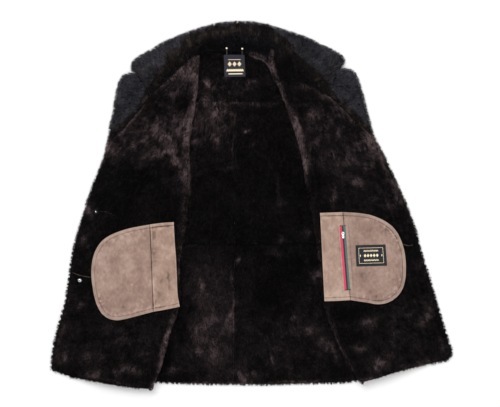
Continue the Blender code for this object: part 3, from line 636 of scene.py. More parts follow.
class Finish:
    """A material with one Principled shader. Constants are set on its own sockets."""

    def __init__(self, name, colour, roughness, **constants):
        self.material = bpy.data.materials.new(name)
        self.material.use_nodes = True
        self.tree = self.material.node_tree
        self.shader = self.tree.nodes["Principled BSDF"]
        self.feed(self.shader.inputs["Base Color"], (*colour, 1))
        self.feed(self.shader.inputs["Roughness"], roughness)
        for name, value in constants.items():
            self.feed(self.shader.inputs[name.replace("_", " ").title().replace("Ior", "IOR")], value)
        self.material.diffuse_color = (*colour, 1)
        self.made_coordinates = None

    def feed(self, socket, value):
        """Sets a socket to a value or links a wire to it."""
        if isinstance(value, Wire):
            self.tree.links.new(value.socket, socket)
        else:
            socket.default_value = value

    def node(self, kind, settings=None, sockets=None, output=0):
        """A node of a type, its settings made first, then its sockets, by name or place."""
        made = self.tree.nodes.new(kind)
        for name, value in (settings or {}).items():
            setattr(made, name, value)
        for name, value in (sockets or {}).items():
            self.feed(made.inputs[name], value)
        return Wire(self, made.outputs[output])

    def place(self, stretch=(1, 1, 1), turn=0.0):
        """Object coordinates in metres, turned about Z and then stretched."""
        if self.made_coordinates is None:
            self.made_coordinates = self.node("ShaderNodeTexCoord", output="Object")
        sockets = {"Vector": self.made_coordinates, "Rotation": (0, 0, turn), "Scale": stretch}
        return self.node("ShaderNodeMapping", sockets=sockets)

    def noise(self, scale, detail=2.0, roughness=0.5, at=None):
        """Noise from 0 to 1, with scale repeats a metre."""
        sockets = {"Vector": at or self.place(), "Scale": scale, "Detail": detail, "Roughness": roughness}
        return self.node("ShaderNodeTexNoise", sockets=sockets)

    def cells(self, scale, randomness=1.0):
        """Distance from the nearest of scattered points, scale of them a metre."""
        sockets = {"Vector": self.place(), "Scale": scale, "Randomness": randomness}
        return self.node("ShaderNodeTexVoronoi", sockets=sockets, output="Distance")

    def spread(self, value, low, high, to_low=0.0, to_high=1.0):
        """A value between low and high carried to another range, and held there."""
        sockets = {"Value": value, 1: low, 2: high, 3: to_low, 4: to_high}
        return self.node("ShaderNodeMapRange", {"clamp": True}, sockets)

    def mix(self, first, second, share):
        """A colour between two."""
        colours = [c if isinstance(c, Wire) else (*c, 1) for c in (first, second)]
        sockets = {0: share, 6: colours[0], 7: colours[1]}
        return self.node("ShaderNodeMix", {"data_type": "RGBA", "clamp_factor": True}, sockets, 2)

    def colour(self, value):
        """Wires the shader's colour."""
        self.feed(self.shader.inputs["Base Color"], value)

    def rough(self, value):
        """Wires the shader's roughness."""
        self.feed(self.shader.inputs["Roughness"], value)

    def bump(self, height, distance, strength=1.0):
        """Relief from a height of 0 to 1, so many metres deep."""
        sockets = {"Height": height, "Distance": distance, "Strength": strength}
        self.feed(self.shader.inputs["Normal"], self.node("ShaderNodeBump", sockets=sockets))


def scaled(colour, share):
    """A colour times a share, and at most white."""
    return [min(part * share, 1) for part in colour]


def pile_shade(name, colour):
    """One shade of loose strands, plain, because each strand is narrower than any grain. The shades are lit
    and shaded copies of one pile colour: they paint the nap's light and shade. The lighter ones gleam a
    little."""
    gleam = min(0.015 + 1.6 * colour[0], 0.12)
    return Finish(name, colour, 0.7, specular_ior_level=gleam).material


def make_underfur(name, dark, light):
    """Felted pile under the strands: two browns in blots, with short fibres in relief."""
    finish = Finish(name, dark, 0.9, specular_ior_level=0.06)
    fibres = finish.noise(900, 3, 0.7, finish.place((1, 0.35, 1)))
    blots = finish.noise(28, 3, 0.6)
    finish.colour(finish.mix(dark, light, finish.spread(blots * 0.6 + fibres * 0.4, 0.42, 0.7)))
    finish.rough(finish.spread(fibres, 0.2, 0.8, 0.82, 0.98))
    finish.bump(fibres, 0.0012, 0.8)
    return finish.material


def make_suede(name, colour, deep, pale, worked=False):
    """Suede: soft blots, brushed streaks, a fine nap and a few scuffs. On worked pieces their own tone, from
    -1 to 1, adds patches of its own, darkens seams, grooves and creases, a painted shade, and lightens what
    stands up, a painted highlight."""
    finish = Finish(name, colour, 0.92, specular_ior_level=0.15, sheen_weight=0.15, sheen_roughness=0.6)
    blots = finish.noise(20, 4, 0.62)
    streaks = finish.noise(150, 4, 0.7, finish.place((1, 0.7, 1), 0.5))
    nap = finish.noise(1500, 3, 0.7)
    pores = finish.cells(700)
    tone = blots * 0.36 + streaks * 0.42 + nap * 0.22
    if worked:
        made = finish.node("ShaderNodeAttribute", {"attribute_name": "tone"}, output="Fac")
        tone = tone + made * 0.13
    body = finish.mix(deep, colour, finish.spread(tone, 0.36, 0.51))
    body = finish.mix(body, pale, finish.spread(tone, 0.5, 0.66))
    if worked:
        # Where the worked tone is lowest, in seams and grooves, the suede turns near black: painted shade.
        body = finish.mix(body, scaled(deep, 0.3), finish.spread(made, -0.75, -1.4))
    finish.colour(body)
    finish.rough(finish.spread(nap, 0.3, 0.7, 0.85, 0.98))
    finish.bump(nap * 0.6 + streaks * 0.5 + finish.spread(pores, 0.0, 0.5) * 0.3, 0.0006, 0.7)
    return finish.material


def make_thread(name, colour):
    """Sewing thread: two plies, told by fine slanting bands."""
    finish = Finish(name, colour, 0.7, specular_ior_level=0.25)
    plies = finish.noise(2600, 2, 0.5, finish.place((1, 1, 1), 0.7))
    finish.colour(finish.mix(scaled(colour, 0.6), scaled(colour, 1.5), finish.spread(plies, 0.35, 0.65)))
    finish.bump(plies, 0.0002, 0.6)
    return finish.material


def make_woven(name, colour, turn, pitch):
    """Woven tape: rows of twill slant across it, each thread a little its own shade."""
    finish = Finish(name, colour, 0.75, specular_ior_level=0.25)
    settings = {"wave_type": "BANDS", "bands_direction": "X", "wave_profile": "SIN"}
    waves = [
        finish.node("ShaderNodeTexWave", settings, {"Vector": finish.place(turn=turn + lean), "Scale": scale})
        for lean, scale in ((0.0, 0.5 / pitch), (0.9, 0.32 / pitch))
    ]
    weave = waves[0] * 0.5 + waves[1] * 0.5
    uneven = finish.noise(900, 3, 0.6)
    tone = finish.spread(weave * 0.6 + uneven * 0.4, 0.25, 0.75)
    finish.colour(finish.mix(scaled(colour, 0.55), scaled(colour, 1.35), tone))
    finish.rough(finish.spread(uneven, 0.3, 0.7, 0.65, 0.85))
    finish.bump(weave, 0.0003, 0.8)
    return finish.material


def make_metal(name, colour, roughness, worn):
    """Polished plate: fine scratches both ways, and duller, darker wear in patches."""
    finish = Finish(name, colour, roughness, metallic=1.0, specular_ior_level=0.5)
    scratches = finish.noise(1400, 3, 0.6, finish.place((1, 0.06, 1), 0.4))
    patches = finish.noise(260, 3, 0.6)
    dull = finish.spread(patches * 0.6 + scratches * 0.4, 0.42, 0.68)
    finish.colour(finish.mix(colour, worn, dull))
    finish.rough(finish.spread(scratches, 0.3, 0.75, roughness, roughness + 0.22))
    finish.bump(scratches, 0.00005, 0.5)
    return finish.material


def make_moulded(name, colour):
    """Moulded plastic teeth: black, a little uneven in gloss."""
    finish = Finish(name, colour, 0.45, specular_ior_level=0.5)
    uneven = finish.noise(1200, 3, 0.6)
    finish.colour(finish.mix(colour, scaled(colour, 2.2), finish.spread(uneven, 0.4, 0.7)))
    finish.rough(finish.spread(uneven, 0.3, 0.7, 0.35, 0.6))
    finish.bump(uneven, 0.0001, 0.5)
    return finish.material


def make_label_leather(name, colour):
    """Smooth dark label leather: pebbled grain, with a soft shine where it is rubbed."""
    finish = Finish(name, colour, 0.6, specular_ior_level=0.15)
    grain = finish.cells(1100, 0.9)
    rubbed = finish.noise(120, 3, 0.6)
    tone = finish.spread(grain * 0.5 + rubbed * 0.5, 0.3, 0.62)
    finish.colour(finish.mix(colour, scaled(colour, 2.0), tone))
    finish.rough(finish.spread(rubbed, 0.35, 0.7, 0.5, 0.7))
    finish.bump(finish.spread(grain, 0.0, 0.6), 0.0003, 0.7)
    return finish.material


def make_foil(name, colour):
    """Pale gold foil pressed into leather: flecked where the grain broke it."""
    finish = Finish(name, colour, 0.35, metallic=0.6, specular_ior_level=0.5)
    flecks = finish.noise(1600, 3, 0.7)
    finish.colour(finish.mix(colour, scaled(colour, 0.45), finish.spread(flecks, 0.52, 0.72)))
    finish.rough(finish.spread(flecks, 0.3, 0.7, 0.28, 0.55))
    finish.bump(flecks, 0.0001, 0.5)
    return finish.material


def make_cord_finish(name, colour):
    """Twisted cord: fibres along the plies, a little fuzz in its light."""
    finish = Finish(name, colour, 0.8, specular_ior_level=0.25, sheen_weight=0.2)
    fibres = finish.noise(1800, 3, 0.7)
    finish.colour(finish.mix(scaled(colour, 0.5), scaled(colour, 1.9), fibres))
    finish.bump(fibres, 0.0002, 0.7)
    return finish.material


TWILL_PITCH = 0.0011

# Colours of the body's strands, from near black to pinkish brown: lit and shaded copies of one brown, which
# paint the light and shade of the nap along with its mottle.
FUR_COLOURS = (
    (0.0030, 0.0028, 0.0030), (0.0072, 0.0062, 0.0065), (0.0176, 0.0127, 0.0133),
    (0.0395, 0.0272, 0.0287), (0.0710, 0.0482, 0.0508), (0.117, 0.0800, 0.0835),
)
# Colours of the collar's strands: near black and dark grey inside the roll, greys outside it that paint the
# sheen where the pile turns to the light, lightest towards the rim as a painted highlight, and two browns for
# tips along the roll.
COLLAR_COLOURS = (
    (0.0034, 0.0034, 0.0040), (0.0098, 0.0094, 0.0112), (0.0220, 0.0210, 0.0255),
    (0.043, 0.0410, 0.0500), (0.076, 0.0740, 0.0900), (0.0165, 0.0131, 0.0117), (0.0390, 0.0298, 0.0258),
)
FUR_SHADES = [pile_shade(f"pile_brown_{k}", c) for k, c in enumerate(FUR_COLOURS, start=1)]
COLLAR_SHADES = [pile_shade(f"pile_collar_{k}", c) for k, c in enumerate(COLLAR_COLOURS, start=1)]
UNDERFUR_BROWN = make_underfur("underfur_brown", (0.0027, 0.0020, 0.0020), (0.0105, 0.0074, 0.0074))
UNDERFUR_COLLAR = make_underfur("underfur_collar", (0.0027, 0.0027, 0.0034), (0.009, 0.009, 0.0115))
SUEDE_BAG = make_suede("suede_bag", (0.300, 0.196, 0.158), (0.222, 0.142, 0.115), (0.40, 0.29, 0.24), True)
SUEDE_STRIP = make_suede(
    "suede_strip", (0.365, 0.245, 0.192), (0.27, 0.178, 0.138), (0.47, 0.345, 0.28), True
)
SUEDE_OUTER = make_suede("suede_outer", (0.30, 0.205, 0.158), (0.22, 0.148, 0.112), (0.38, 0.275, 0.22))
THREAD_TAUPE = make_thread("thread_taupe", (0.13, 0.085, 0.066))
THREAD_DARK = make_thread("thread_dark", (0.02, 0.02, 0.024))
TAPE_RED = make_woven("tape_red", (0.88, 0.05, 0.13), ZIP_TURN, TWILL_PITCH)
TAPE_GREEN = make_woven("tape_green", (0.088, 0.165, 0.145), ZIP_TURN, TWILL_PITCH)
CHROME = make_metal("chrome_plate", (0.80, 0.80, 0.80), 0.14, (0.5, 0.5, 0.5))
GUNMETAL = make_metal("gunmetal_plate", (0.028, 0.028, 0.031), 0.35, (0.016, 0.016, 0.017))
BRASS = make_metal("brass_plate", (0.88, 0.80, 0.62), 0.2, (0.6, 0.5, 0.32))
BRASS_DULL = make_metal("brass_rim", (0.16, 0.12, 0.07), 0.4, (0.08, 0.06, 0.035))
TEETH_BLACK = make_moulded("teeth_black", (0.012, 0.012, 0.013))
LABEL_DARK = make_label_leather("label_dark", (0.0125, 0.013, 0.0155))
LABEL_SLATE = make_label_leather("label_slate", (0.0155, 0.0142, 0.0205))
LIP_LEATHER = make_thread("lip_leather", (0.062, 0.044, 0.037))
FOIL_GOLD = make_foil("foil_gold", (0.78, 0.66, 0.45))
CORD_DARK = make_cord_finish("cord_dark", (0.03, 0.028, 0.03))

# ---- Relief and nap ----

# Soft ridges in the pelts: start, end, half width and height.
CREASES = (
    ((-150, 60), (-232, -30), 20, 3.0),
    ((-150, 250), (-240, 190), 18, 3.5),
    ((-168, 150), (-300, 112), 24, 3.0),
    ((-262, 20), (-398, 6), 22, 2.2),
    ((-240, -310), (-268, -440), 20, 3.5),
    ((-330, -310), (-352, -430), 26, 3.0),
    ((-430, -250), (-470, -380), 18, 2.5),
    ((95, 240), (190, 210), 18, 3.0),
    ((118, 140), (230, 92), 24, 3.5),
    ((140, 20), (245, 34), 20, 2.4),
    ((290, 60), (352, 20), 18, 2.5),
    ((250, -270), (300, -400), 22, 3.5),
    ((350, -270), (392, -390), 24, 3.0),
    ((420, -200), (462, -340), 16, 2.2),
    ((-80, 190), (-95, 60), 18, 2.0),
    ((20, 230), (40, 70), 22, 2.2),
    ((66, 64), (70, -30), 12, 2.0),
    ((48, -330), (44, -430), 16, 2.5),
    ((-110, -160), (-90, -380), 22, 2.4),
    ((120, -180), (150, -400), 20, 2.2),
)

# Where the nap turns to the light, painted highlights, and, where a strength is negative, darker patches,
# among them the painted shadow on the back beside the left front's fold: middle, half length, half width,
# angle, strength.
BODY_NAP = (
    (-140, 362, 35, 10, 80, 1.6), (-158, 330, 26, 17, 60, 1.7), (-137, 270, 42, 5, 83, 2),
    (-155, 189, 50, 8, 82, 2.2), (-155, 58, 77, 4, 90, 1.6), (-178, 81, 19, 15, 60, 1.3),
    (-230, 131, 38, 13, 10, 2.0), (-235, 201, 23, 13, 50, 1.9), (-212, 170, 31, 23, 30, 1.8),
    (-189, 108, 23, 15, -30, 1.7), (-170, 216, 23, 21, 60, 1.5), (-201, 278, 15, 9, 20, 1.2),
    (-212, 308, 42, 3, 40, 2), (-299, 212, 44, 3, 48, 2.2), (-351, 147, 19, 14, 45, 1.8),
    (-376, 99, 42, 3, 63, 1.2), (-289, 170, 23, 12, 20, 1.2), (-103, 312, 14, 8, -60, 1.8),
    (-112, 270, 15, 9, 40, 1), (-74, 243, 27, 20, 20, 1.7), (-89, 228, 15, 12, 60, 1.8),
    (-59, 263, 31, 5, 0, 1.7), (-43, 228, 23, 7, 90, 1.2), (-93, 181, 15, 13, 30, 1.5),
    (-137, 168, 10, 8, 0, 1.3), (-12, 191, 8, 6, 0, 1.6), (-59, 99, 18, 7, 10, 1.3),
    (-45, 151, 38, 2, 88, 1.1), (-85, 381, 12, 6, 0, 1), (-5, 310, 12, 10, 60, 2.2),
    (-170, 270, 19, 13, 60, -1.2), (-285, 62, 77, 50, 20, -0.5), (22, 372, 23, 4, -27, 2.2),
    (61, 347, 37, 6, 105, 2.6), (85, 251, 50, 3, 107, 2.2), (111, 208, 23, 5, 108, 2.2),
    (116, 178, 27, 9, 110, 1.2), (138, 112, 27, 12, 100, 1.2), (7, 258, 19, 6, -10, 1.7),
    (53, 258, 15, 6, 20, 1), (149, 302, 42, 4, -12, 1.5), (191, 274, 38, 5, -45, 1.2),
    (157, 224, 27, 17, 60, 1.1), (207, 193, 19, 5, -60, 1.6), (249, 224, 12, 9, 0, 1.5),
    (291, 174, 29, 16, -45, 1.7), (315, 135, 33, 7, -60, 1.4), (199, 124, 27, 17, 10, 0.9),
    (249, 108, 23, 19, 30, 0.7), (176, 170, 35, 19, 60, 0.6), (268, 51, 21, 16, 60, 1.4),
    (341, 85, 42, 5, -62, 1.4), (343, 8, 23, 18, 60, 1.6), (365, 24, 27, 5, -62, 1.5),
    (203, 20, 23, 10, 90, 1.5), (66, 51, 27, 3, 90, 1.3), (76, 4, 14, 13, 0, 0.9),
    (7, 154, 15, 3, 70, 1.2), (-12, 189, 8, 5, 0, 1.3), (165, 74, 19, 23, 0, -0.6),
    (-168, -93, 37, 5, 78, 1.8), (-180, -147, 31, 3, 82, 1.6), (-395, -15, 14, 12, 0, 2.4),
    (-414, -85, 12, 9, 60, 2), (-474, -316, 85, 8, 76, 0.9), (-424, -247, 17, 8, 70, 1),
    (-470, -370, 27, 15, 60, 1.2), (-414, -370, 12, 11, 0, 1.1), (-347, -412, 46, 11, 8, 1.1),
    (-385, -423, 23, 14, 0, 0.9), (-332, -437, 58, 4, -12, 1.2), (-260, -366, 12, 11, 0, 1.3),
    (-301, -408, 27, 15, 0, 1.1), (-209, -316, 46, 5, 72, 1.9), (-230, -393, 42, 5, 72, 1.8),
    (-247, -443, 17, 5, 60, 1.8), (-112, -285, 127, 58, 90, 0.2), (-118, -193, 14, 6, 100, 2.0),
    (-135, -300, 31, 18, 30, 1.0), (-139, -358, 12, 9, 0, 1.0), (-116, -366, 27, 15, 10, 0.9),
    (-48, -216, 65, 2, 92, 1.2), (-59, -277, 38, 4, 65, 1.2), (-28, -131, 10, 5, 50, 1.8),
    (-51, -293, 23, 10, 80, 0.9), (-20, -420, 23, 13, 10, 1.8), (-132, -439, 100, 3, 0, 1.4),
    (-197, -404, 15, 11, 0, 1.2), (-147, -97, 23, 3, 0, 1), (76, -72, 15, 12, 60, 1),
    (134, -66, 18, 13, 70, 1.2), (163, -85, 58, 3, 100, 1.5), (168, -131, 23, 3, 95, 1.5),
    (157, -173, 17, 13, 20, 1.9), (65, -112, 13, 12, 0, 0.9), (55, -252, 8, 5, 30, 1.5),
    (86, -235, 8, 4, 30, 1.5), (107, -275, 10, 7, 40, 1.2), (147, -306, 17, 9, 20, 1.0),
    (193, -354, 34, 14, -58, 2.4), (222, -350, 96, 2, -67, 1.4), (291, -293, 23, 13, 60, 1.6),
    (268, -348, 14, 12, 0, 1.3), (315, -396, 34, 15, 10, 2.0), (299, -427, 38, 5, 15, 1.5),
    (434, -277, 23, 12, 60, 1.5), (438, -239, 15, 12, 80, 1), (480, -370, 15, 15, 0, 1.2),
    (426, -393, 58, 11, 12, 1.1), (465, -323, 50, 5, -75, 1), (418, -139, 17, 13, 20, 1.1),
    (407, -43, 46, 5, -65, 1.3), (49, -370, 42, 3, -78, 1), (-9, -416, 23, 15, 0, 1.4),
    (99, -435, 127, 3, 2, 1.3), (99, -350, 77, 54, 60, 0.35), (95, -158, 58, 23, 90, -0.5),
    (26, -235, 35, 23, 60, -0.5), (253, -262, 35, 15, 0, -0.5), (-192, -345, 105, 13, 70, -0.7),
    (-421.5, -231, 4, 4, 0, -1.6), (-425, -243, 9, 3.5, 70, 0.6),
)


# Where the pile is lighter and livelier on the whole, broad painted highlights where the nap catches the
# light, laid out as the table above.
NAP_WASH = (
    (-215, 190, 140, 110, 60, 1.5), (240, 170, 150, 100, 110, 1.4), (350, 40, 120, 50, 115, 0.8),
    (-100, -270, 170, 62, 90, 0.5), (-340, -350, 150, 80, 10, 0.9), (370, -320, 130, 90, 60, 0.9),
    (80, -330, 140, 110, 60, 0.8), (65, -255, 70, 45, 100, -0.6), (-80, 230, 60, 60, 0, 0.9),
    (-60, 318, 100, 46, 0, 1.2), (-420, -150, 120, 30, 70, 0.7), (-300, 155, 45, 25, 20, 0.9),
)

# The lower left panel of the back is evenly browner than its neighbours.
LOWER_LEFT_WASH = ((-97, -275, 190, 74, 90, 1.15),)

COMBED_FROM = 800.0  # the height on the coat that the combed strokes fan from
STEADY_WIDE = 22  # a patch of nap narrower than this wanders less

# Light along lines: height down the coat and strength, with how wide the light is to
# each side. It lies on the rolled folds, a little in from their lines, in the grooves
# below the collar, on the free edges, on the hem and, faintly, on the centre seam.
FOLD_LIGHT = {
    "left": ((380, 1.2), (330, 1.7), (240, 1.8), (190, 1.2), (150, 1.9), (90, 1.5), (0, 1.0), (-80, 1.2),
             (-160, 1.4), (-230, 0.4), (-300, 0.85), (-380, 0.8), (-460, 1.0)),
    "right": ((310, 1.9), (250, 1.5), (200, 1.7), (180, 2.0), (110, 1.8), (72, 1.6), (50, 0.3), (-40, 0.4),
              (-90, 1.1), (-160, 1.0), (-240, 0.4), (-300, 1.1), (-380, 1.1), (-440, 0.5)),
}
FOLD_WIDE = {
    "left": ((380, 10), (-220, 10), (-280, 6), (-460, 5)),
    "right": ((310, 8), (-220, 8), (-280, 5), (-440, 5)),
}
FOLD_LIT = 6
GROOVE_LIGHT = {
    "left": ((380, 1.2), (345, 1.4), (322, 1.0), (313, 0.3), (300, 0.9), (272, 0.9), (257, 0.5), (245, 1.4),
             (190, 1.6), (176, 1.0)),
    "right": ((308, 0.5), (300, 0.9), (270, 1.2), (235, 1.1), (205, 0.7), (174, 1.2)),
}
GROOVE_WIDE = 9
EDGE_LIGHT = {
    "left": ((176, 1.3), (120, 0.9), (0, 0.6), (-180, 0.7), (-260, 0.9), (-400, 1.0)),
    "right": ((176, 1.4), (60, 1.2), (-60, 0.9), (-180, 0.6), (-380, 0.8)),
}
EDGE_WIDE = 7
HEM_LIGHT, HEM_WIDE = ((0, 0.9), (-500, 0.9)), 6
CENTRE_LIGHT, CENTRE_WIDE = ((300, 0.6), (100, 0.7), (-80, 0.5), (-300, 1.1), (-440, 0.6)), 3
NECK_FOLD_LIGHT, NECK_FOLD_WIDE = ((390, 2.6), (300, 2.4)), 4.5
NECK_EDGE_LIGHT, NECK_EDGE_WIDE = ((390, 2.2), (340, 2.4)), 4


def ridges(points):
    """Height of the creases: each rises as a bell across its width and fades to its
    ends, and a slow swell of a millimetre lies under them."""
    height = 0.8 + 0.8 * noise(points, 95, 3)
    for start, end, width, high in CREASES:
        far, share = from_segment(points, start, end)
        height = height + high * bell(far, width) * np.sin(np.pi * np.clip(share, 0.08, 0.92))
    return height


def ovals(points, table, wander=0.0):
    """Sum of soft ovals from a table of middle, half length, half width, angle and
    strength: a bell along each times one across it. A narrow one wanders less."""
    total = np.zeros(points.shape[:-1])
    for x_at, y_at, long, wide, angle, strength in table:
        c, s = math.cos(math.radians(angle)), math.sin(math.radians(angle))
        seen = points + wander * min(wide / STEADY_WIDE, 1)
        x, y = seen[..., 0] - x_at, seen[..., 1] - y_at
        total = total + strength * np.exp(-(((x * c + y * s) / long) ** 2) - ((y * c - x * s) / wide) ** 2)
    return total


def nap_light(points, table):
    """How much the nap turns to the light: the sum of soft ovals, which slow and quick
    noise wanders."""
    wander = np.stack([noise(points, 42, 11), noise(points, 42, 12)], -1) * 16
    wander += np.stack([noise(points, 14, 13), noise(points, 14, 14)], -1) * 8
    return ovals(points, table, wander)


def line_light(points, line, strengths, wide):
    """Light along a line: a bell across it, wide to each side, with strengths given at
    heights down the coat and broken up by locks."""
    strength = at_height(points[..., 1], strengths)
    return strength * bell(from_line(points, line), wide) * (0.95 + 0.22 * noise(points, 13, 27))


def combed(points, seed):
    """Noise drawn out into short strokes that fan down the coat from above its neck."""
    x, y = points[..., 0], COMBED_FROM - points[..., 1]
    return noise(np.stack([np.hypot(x, y) / 3.4, np.arctan2(x, y) * 620], -1), 4.4, seed)


def body_shade(points, light):
    """Shade of the body's pile, from 0, near black, to 5: a dark ground whose mottles
    show where the nap is lit, one panel's even wash, the nap's light, broken into locks,
    and the steadier light along folds and edges. Short combed strokes run through it."""
    nap = nap_light(points, BODY_NAP)
    wash = 0.35 + nap_light(points, NAP_WASH)
    strokes = combed(points, 29)
    mottle = 0.8 * noise(points, 64, 21) + 0.9 * noise(points, 26, 22) + 0.8 * noise(points, 11, 23)
    tangle = 0.8 * noise(points, 17, 24) + 0.6 * noise(points, 8, 25) + 0.35 * noise(points, 5, 28)
    locks = 0.4 + 0.95 * ease(0.55 + 0.6 * tangle + 0.35 * strokes)
    clouds = ease(0.8 * mottle + 0.3 * strokes + 0.3)
    fine = noise(points, 6, 26)
    ground = 0.15 + 0.6 * wash + 0.65 * wash * clouds + (0.2 + 0.25 * wash) * fine + 0.3 * wash * strokes
    y = points[..., 1]
    lower_left = (y < WAIST_SEAM_Y) & (points[..., 0] < across_at(y, CENTRE_BACK))
    ground = ground + lower_left * nap_light(points, LOWER_LEFT_WASH)
    return ground + 1.4 * nap * locks + 1.5 * light * (0.7 + 0.3 * locks)


# ---- Pile ----

# Tufts along the free edges: how far apart, how far in they gather strands from, how
# far at most their tips stand out and what share of the strands they gather, both at
# heights on the coat, and how high above the skin.
TUFT_PITCH = 6.5
TUFT_REACH = 7.0
TUFT_STANDS = ((-500, -140, -90, 470), (3.2, 2.7, 0.9, 0.5))
TUFT_SHARE = ((-500, -140, -90, 470), (1.0, 0.9, 0.4, 0.25))
TUFT_HIGH = 5.0
TUFT_LENGTHS = (4.5, 11)  # of their strands, at least and at most
COAT_MIDDLE = (0.0, -50.0)

# Strands on a square millimetre, how long they are and how wide, at least and at most.
BODY_DENSITY, COLLAR_DENSITY = 0.42, 0.5
STRAND = 8.6
BODY_STRAND_WIDE, COLLAR_STRAND_WIDE = (0.9, 1.5), (0.8, 1.35)
STRAND_BEND = (0.25, 0.65)
STRAND_TURN = 0.45

# How near a seam the pile is shorter and, on a front, leans back over its groove.
SEAM_NEAR = 7
# What is left of the pile's length at a pocket's edge and on a fold, and how far it is
# trimmed to each side.
POCKET_TRIM, FOLD_TRIM = (0.5, 10), (0.7, 8)

# How far the pile goes in under a pocket's edge, and how far it parts to each side of a
# slit and round a stud's middle.
POCKET_COVERS, SLIT_PARTS, STUD_PARTS = 1.5, 1.8, 5.5


def grid_normals(grid):
    """Unit normals of a grid of points, on the side that mostly faces up."""
    normals = unit(np.cross(np.gradient(grid, axis=0), np.gradient(grid, axis=1)))
    return normals * np.sign(normals[..., 2].mean())


def scatter(grid, per_mm2, seed):
    """Random places on a grid, each cell with as many as its area asks for. Gives their
    points, normals, and column and row as fractions of the grid."""
    rng = np.random.default_rng(seed)
    normals = grid_normals(grid)
    area = cell_areas(grid)
    cell = np.repeat(np.arange(area.size), rng.poisson(area.ravel() * per_mm2))
    row, column = np.divmod(cell, area.shape[1])
    u, v = rng.random(len(cell))[:, None], rng.random(len(cell))[:, None]

    def at(values):
        top = values[row, column] * (1 - u) + values[row, column + 1] * u
        return top * (1 - v) + (values[row + 1, column] * (1 - u) + values[row + 1, column + 1] * u) * v

    share = ((column + u[:, 0]) / area.shape[1], (row + v[:, 0]) / area.shape[0])
    return at(grid), unit(at(normals)), share


def strands(name, points, normals, flow, lean, length, width, shade, shades, seed):
    """Loose strands of pile as one mesh, each a kite of two triangles bent at its middle.

    Its root stands on the underfur. Its lower half leans from the normal towards the
    flow, its upper half leans further, and its two sides lie across it, turned a
    little about it at random. shade picks its colour, a shade's fraction by chance."""
    rng = np.random.default_rng(seed)
    count = len(points)
    flow = unit(flow - normals * np.einsum("ij,ij->i", flow, normals)[:, None])
    bend = rng.uniform(*STRAND_BEND, count)
    lean, length, width = lean[:, None], length[:, None], width[:, None]
    low = normals * np.cos(lean) + flow * np.sin(lean)
    high = normals * np.cos(lean + bend[:, None]) + flow * np.sin(lean + bend[:, None])
    side = unit(np.cross(low, normals) + flow * 1e-4)
    turn = rng.normal(0, STRAND_TURN, count)[:, None]
    side = side * np.cos(turn) + np.cross(low, side) * np.sin(turn)
    middle = points + low * length * 0.5
    corners = np.stack(
        [points, middle + side * width / 2, middle - side * width / 2, middle + high * length * 0.5], axis=1
    )
    corners[..., 2] = np.maximum(corners[..., 2], FLOOR_CLEAR)
    first = np.arange(count)[:, None] * 4
    faces = np.concatenate([first + np.array([[0, 1, 2]]), first + np.array([[2, 1, 3]])], axis=1)
    kind = np.clip(np.floor(shade + rng.random(count)), 0, len(shades) - 1)
    return new_piece(name, corners, faces.reshape(-1, 3), shades, np.repeat(kind, 2))


def heading(angle):
    """Level unit vectors at angles from the X axis."""
    return np.stack([np.cos(angle), np.sin(angle), np.zeros_like(angle)], -1)


def gathered(plan, line, rng):
    """Which strands near a free edge are drawn together into its small tufts, and how
    far it is to their tips, which stand unevenly past the edge."""
    taken = rng.random(len(plan)) < np.interp(plan[:, 1], *TUFT_SHARE)
    near = np.flatnonzero(taken & (from_line(plan, line) < TUFT_REACH))
    count = int(reach_along(line)[-1] / TUFT_PITCH)
    tips = along(line, np.clip((np.arange(count) + 0.5 + rng.normal(0, 0.55, count)) / count, 0, 1))
    out = left_of(tips)
    out = out * np.sign(np.einsum("ij,ij->i", out, tips - COAT_MIDDLE))[:, None]
    most = np.interp(tips[:, 1], *TUFT_STANDS)
    tips = tips + out * (most * rng.uniform(-0.4, 1, count) * rng.uniform(0.3, 1, count))[:, None]
    away = tips[None] - plan[near][:, None]
    return near, away[np.arange(len(near)), (away**2).sum(-1).argmin(1)]


def tufted(plan, lines, angle, lean, length, seed):
    """Turns the strands near free edges into the tips of their tufts."""
    rng = np.random.default_rng(seed)
    for line in lines:
        near, away = gathered(plan, line, rng)
        away = away + rng.normal(0, 1.3, away.shape)
        reach = np.linalg.norm(away, axis=-1)
        angle[near] = np.arctan2(away[:, 1], away[:, 0]) + rng.normal(0, 0.12, len(near))
        lean[near] = np.clip(np.arctan2(reach, TUFT_HIGH) - 0.2, 0.2, 1.15)
        length[near] = np.clip(np.hypot(reach, TUFT_HIGH), *TUFT_LENGTHS) * rng.uniform(0.8, 1.0, len(near))


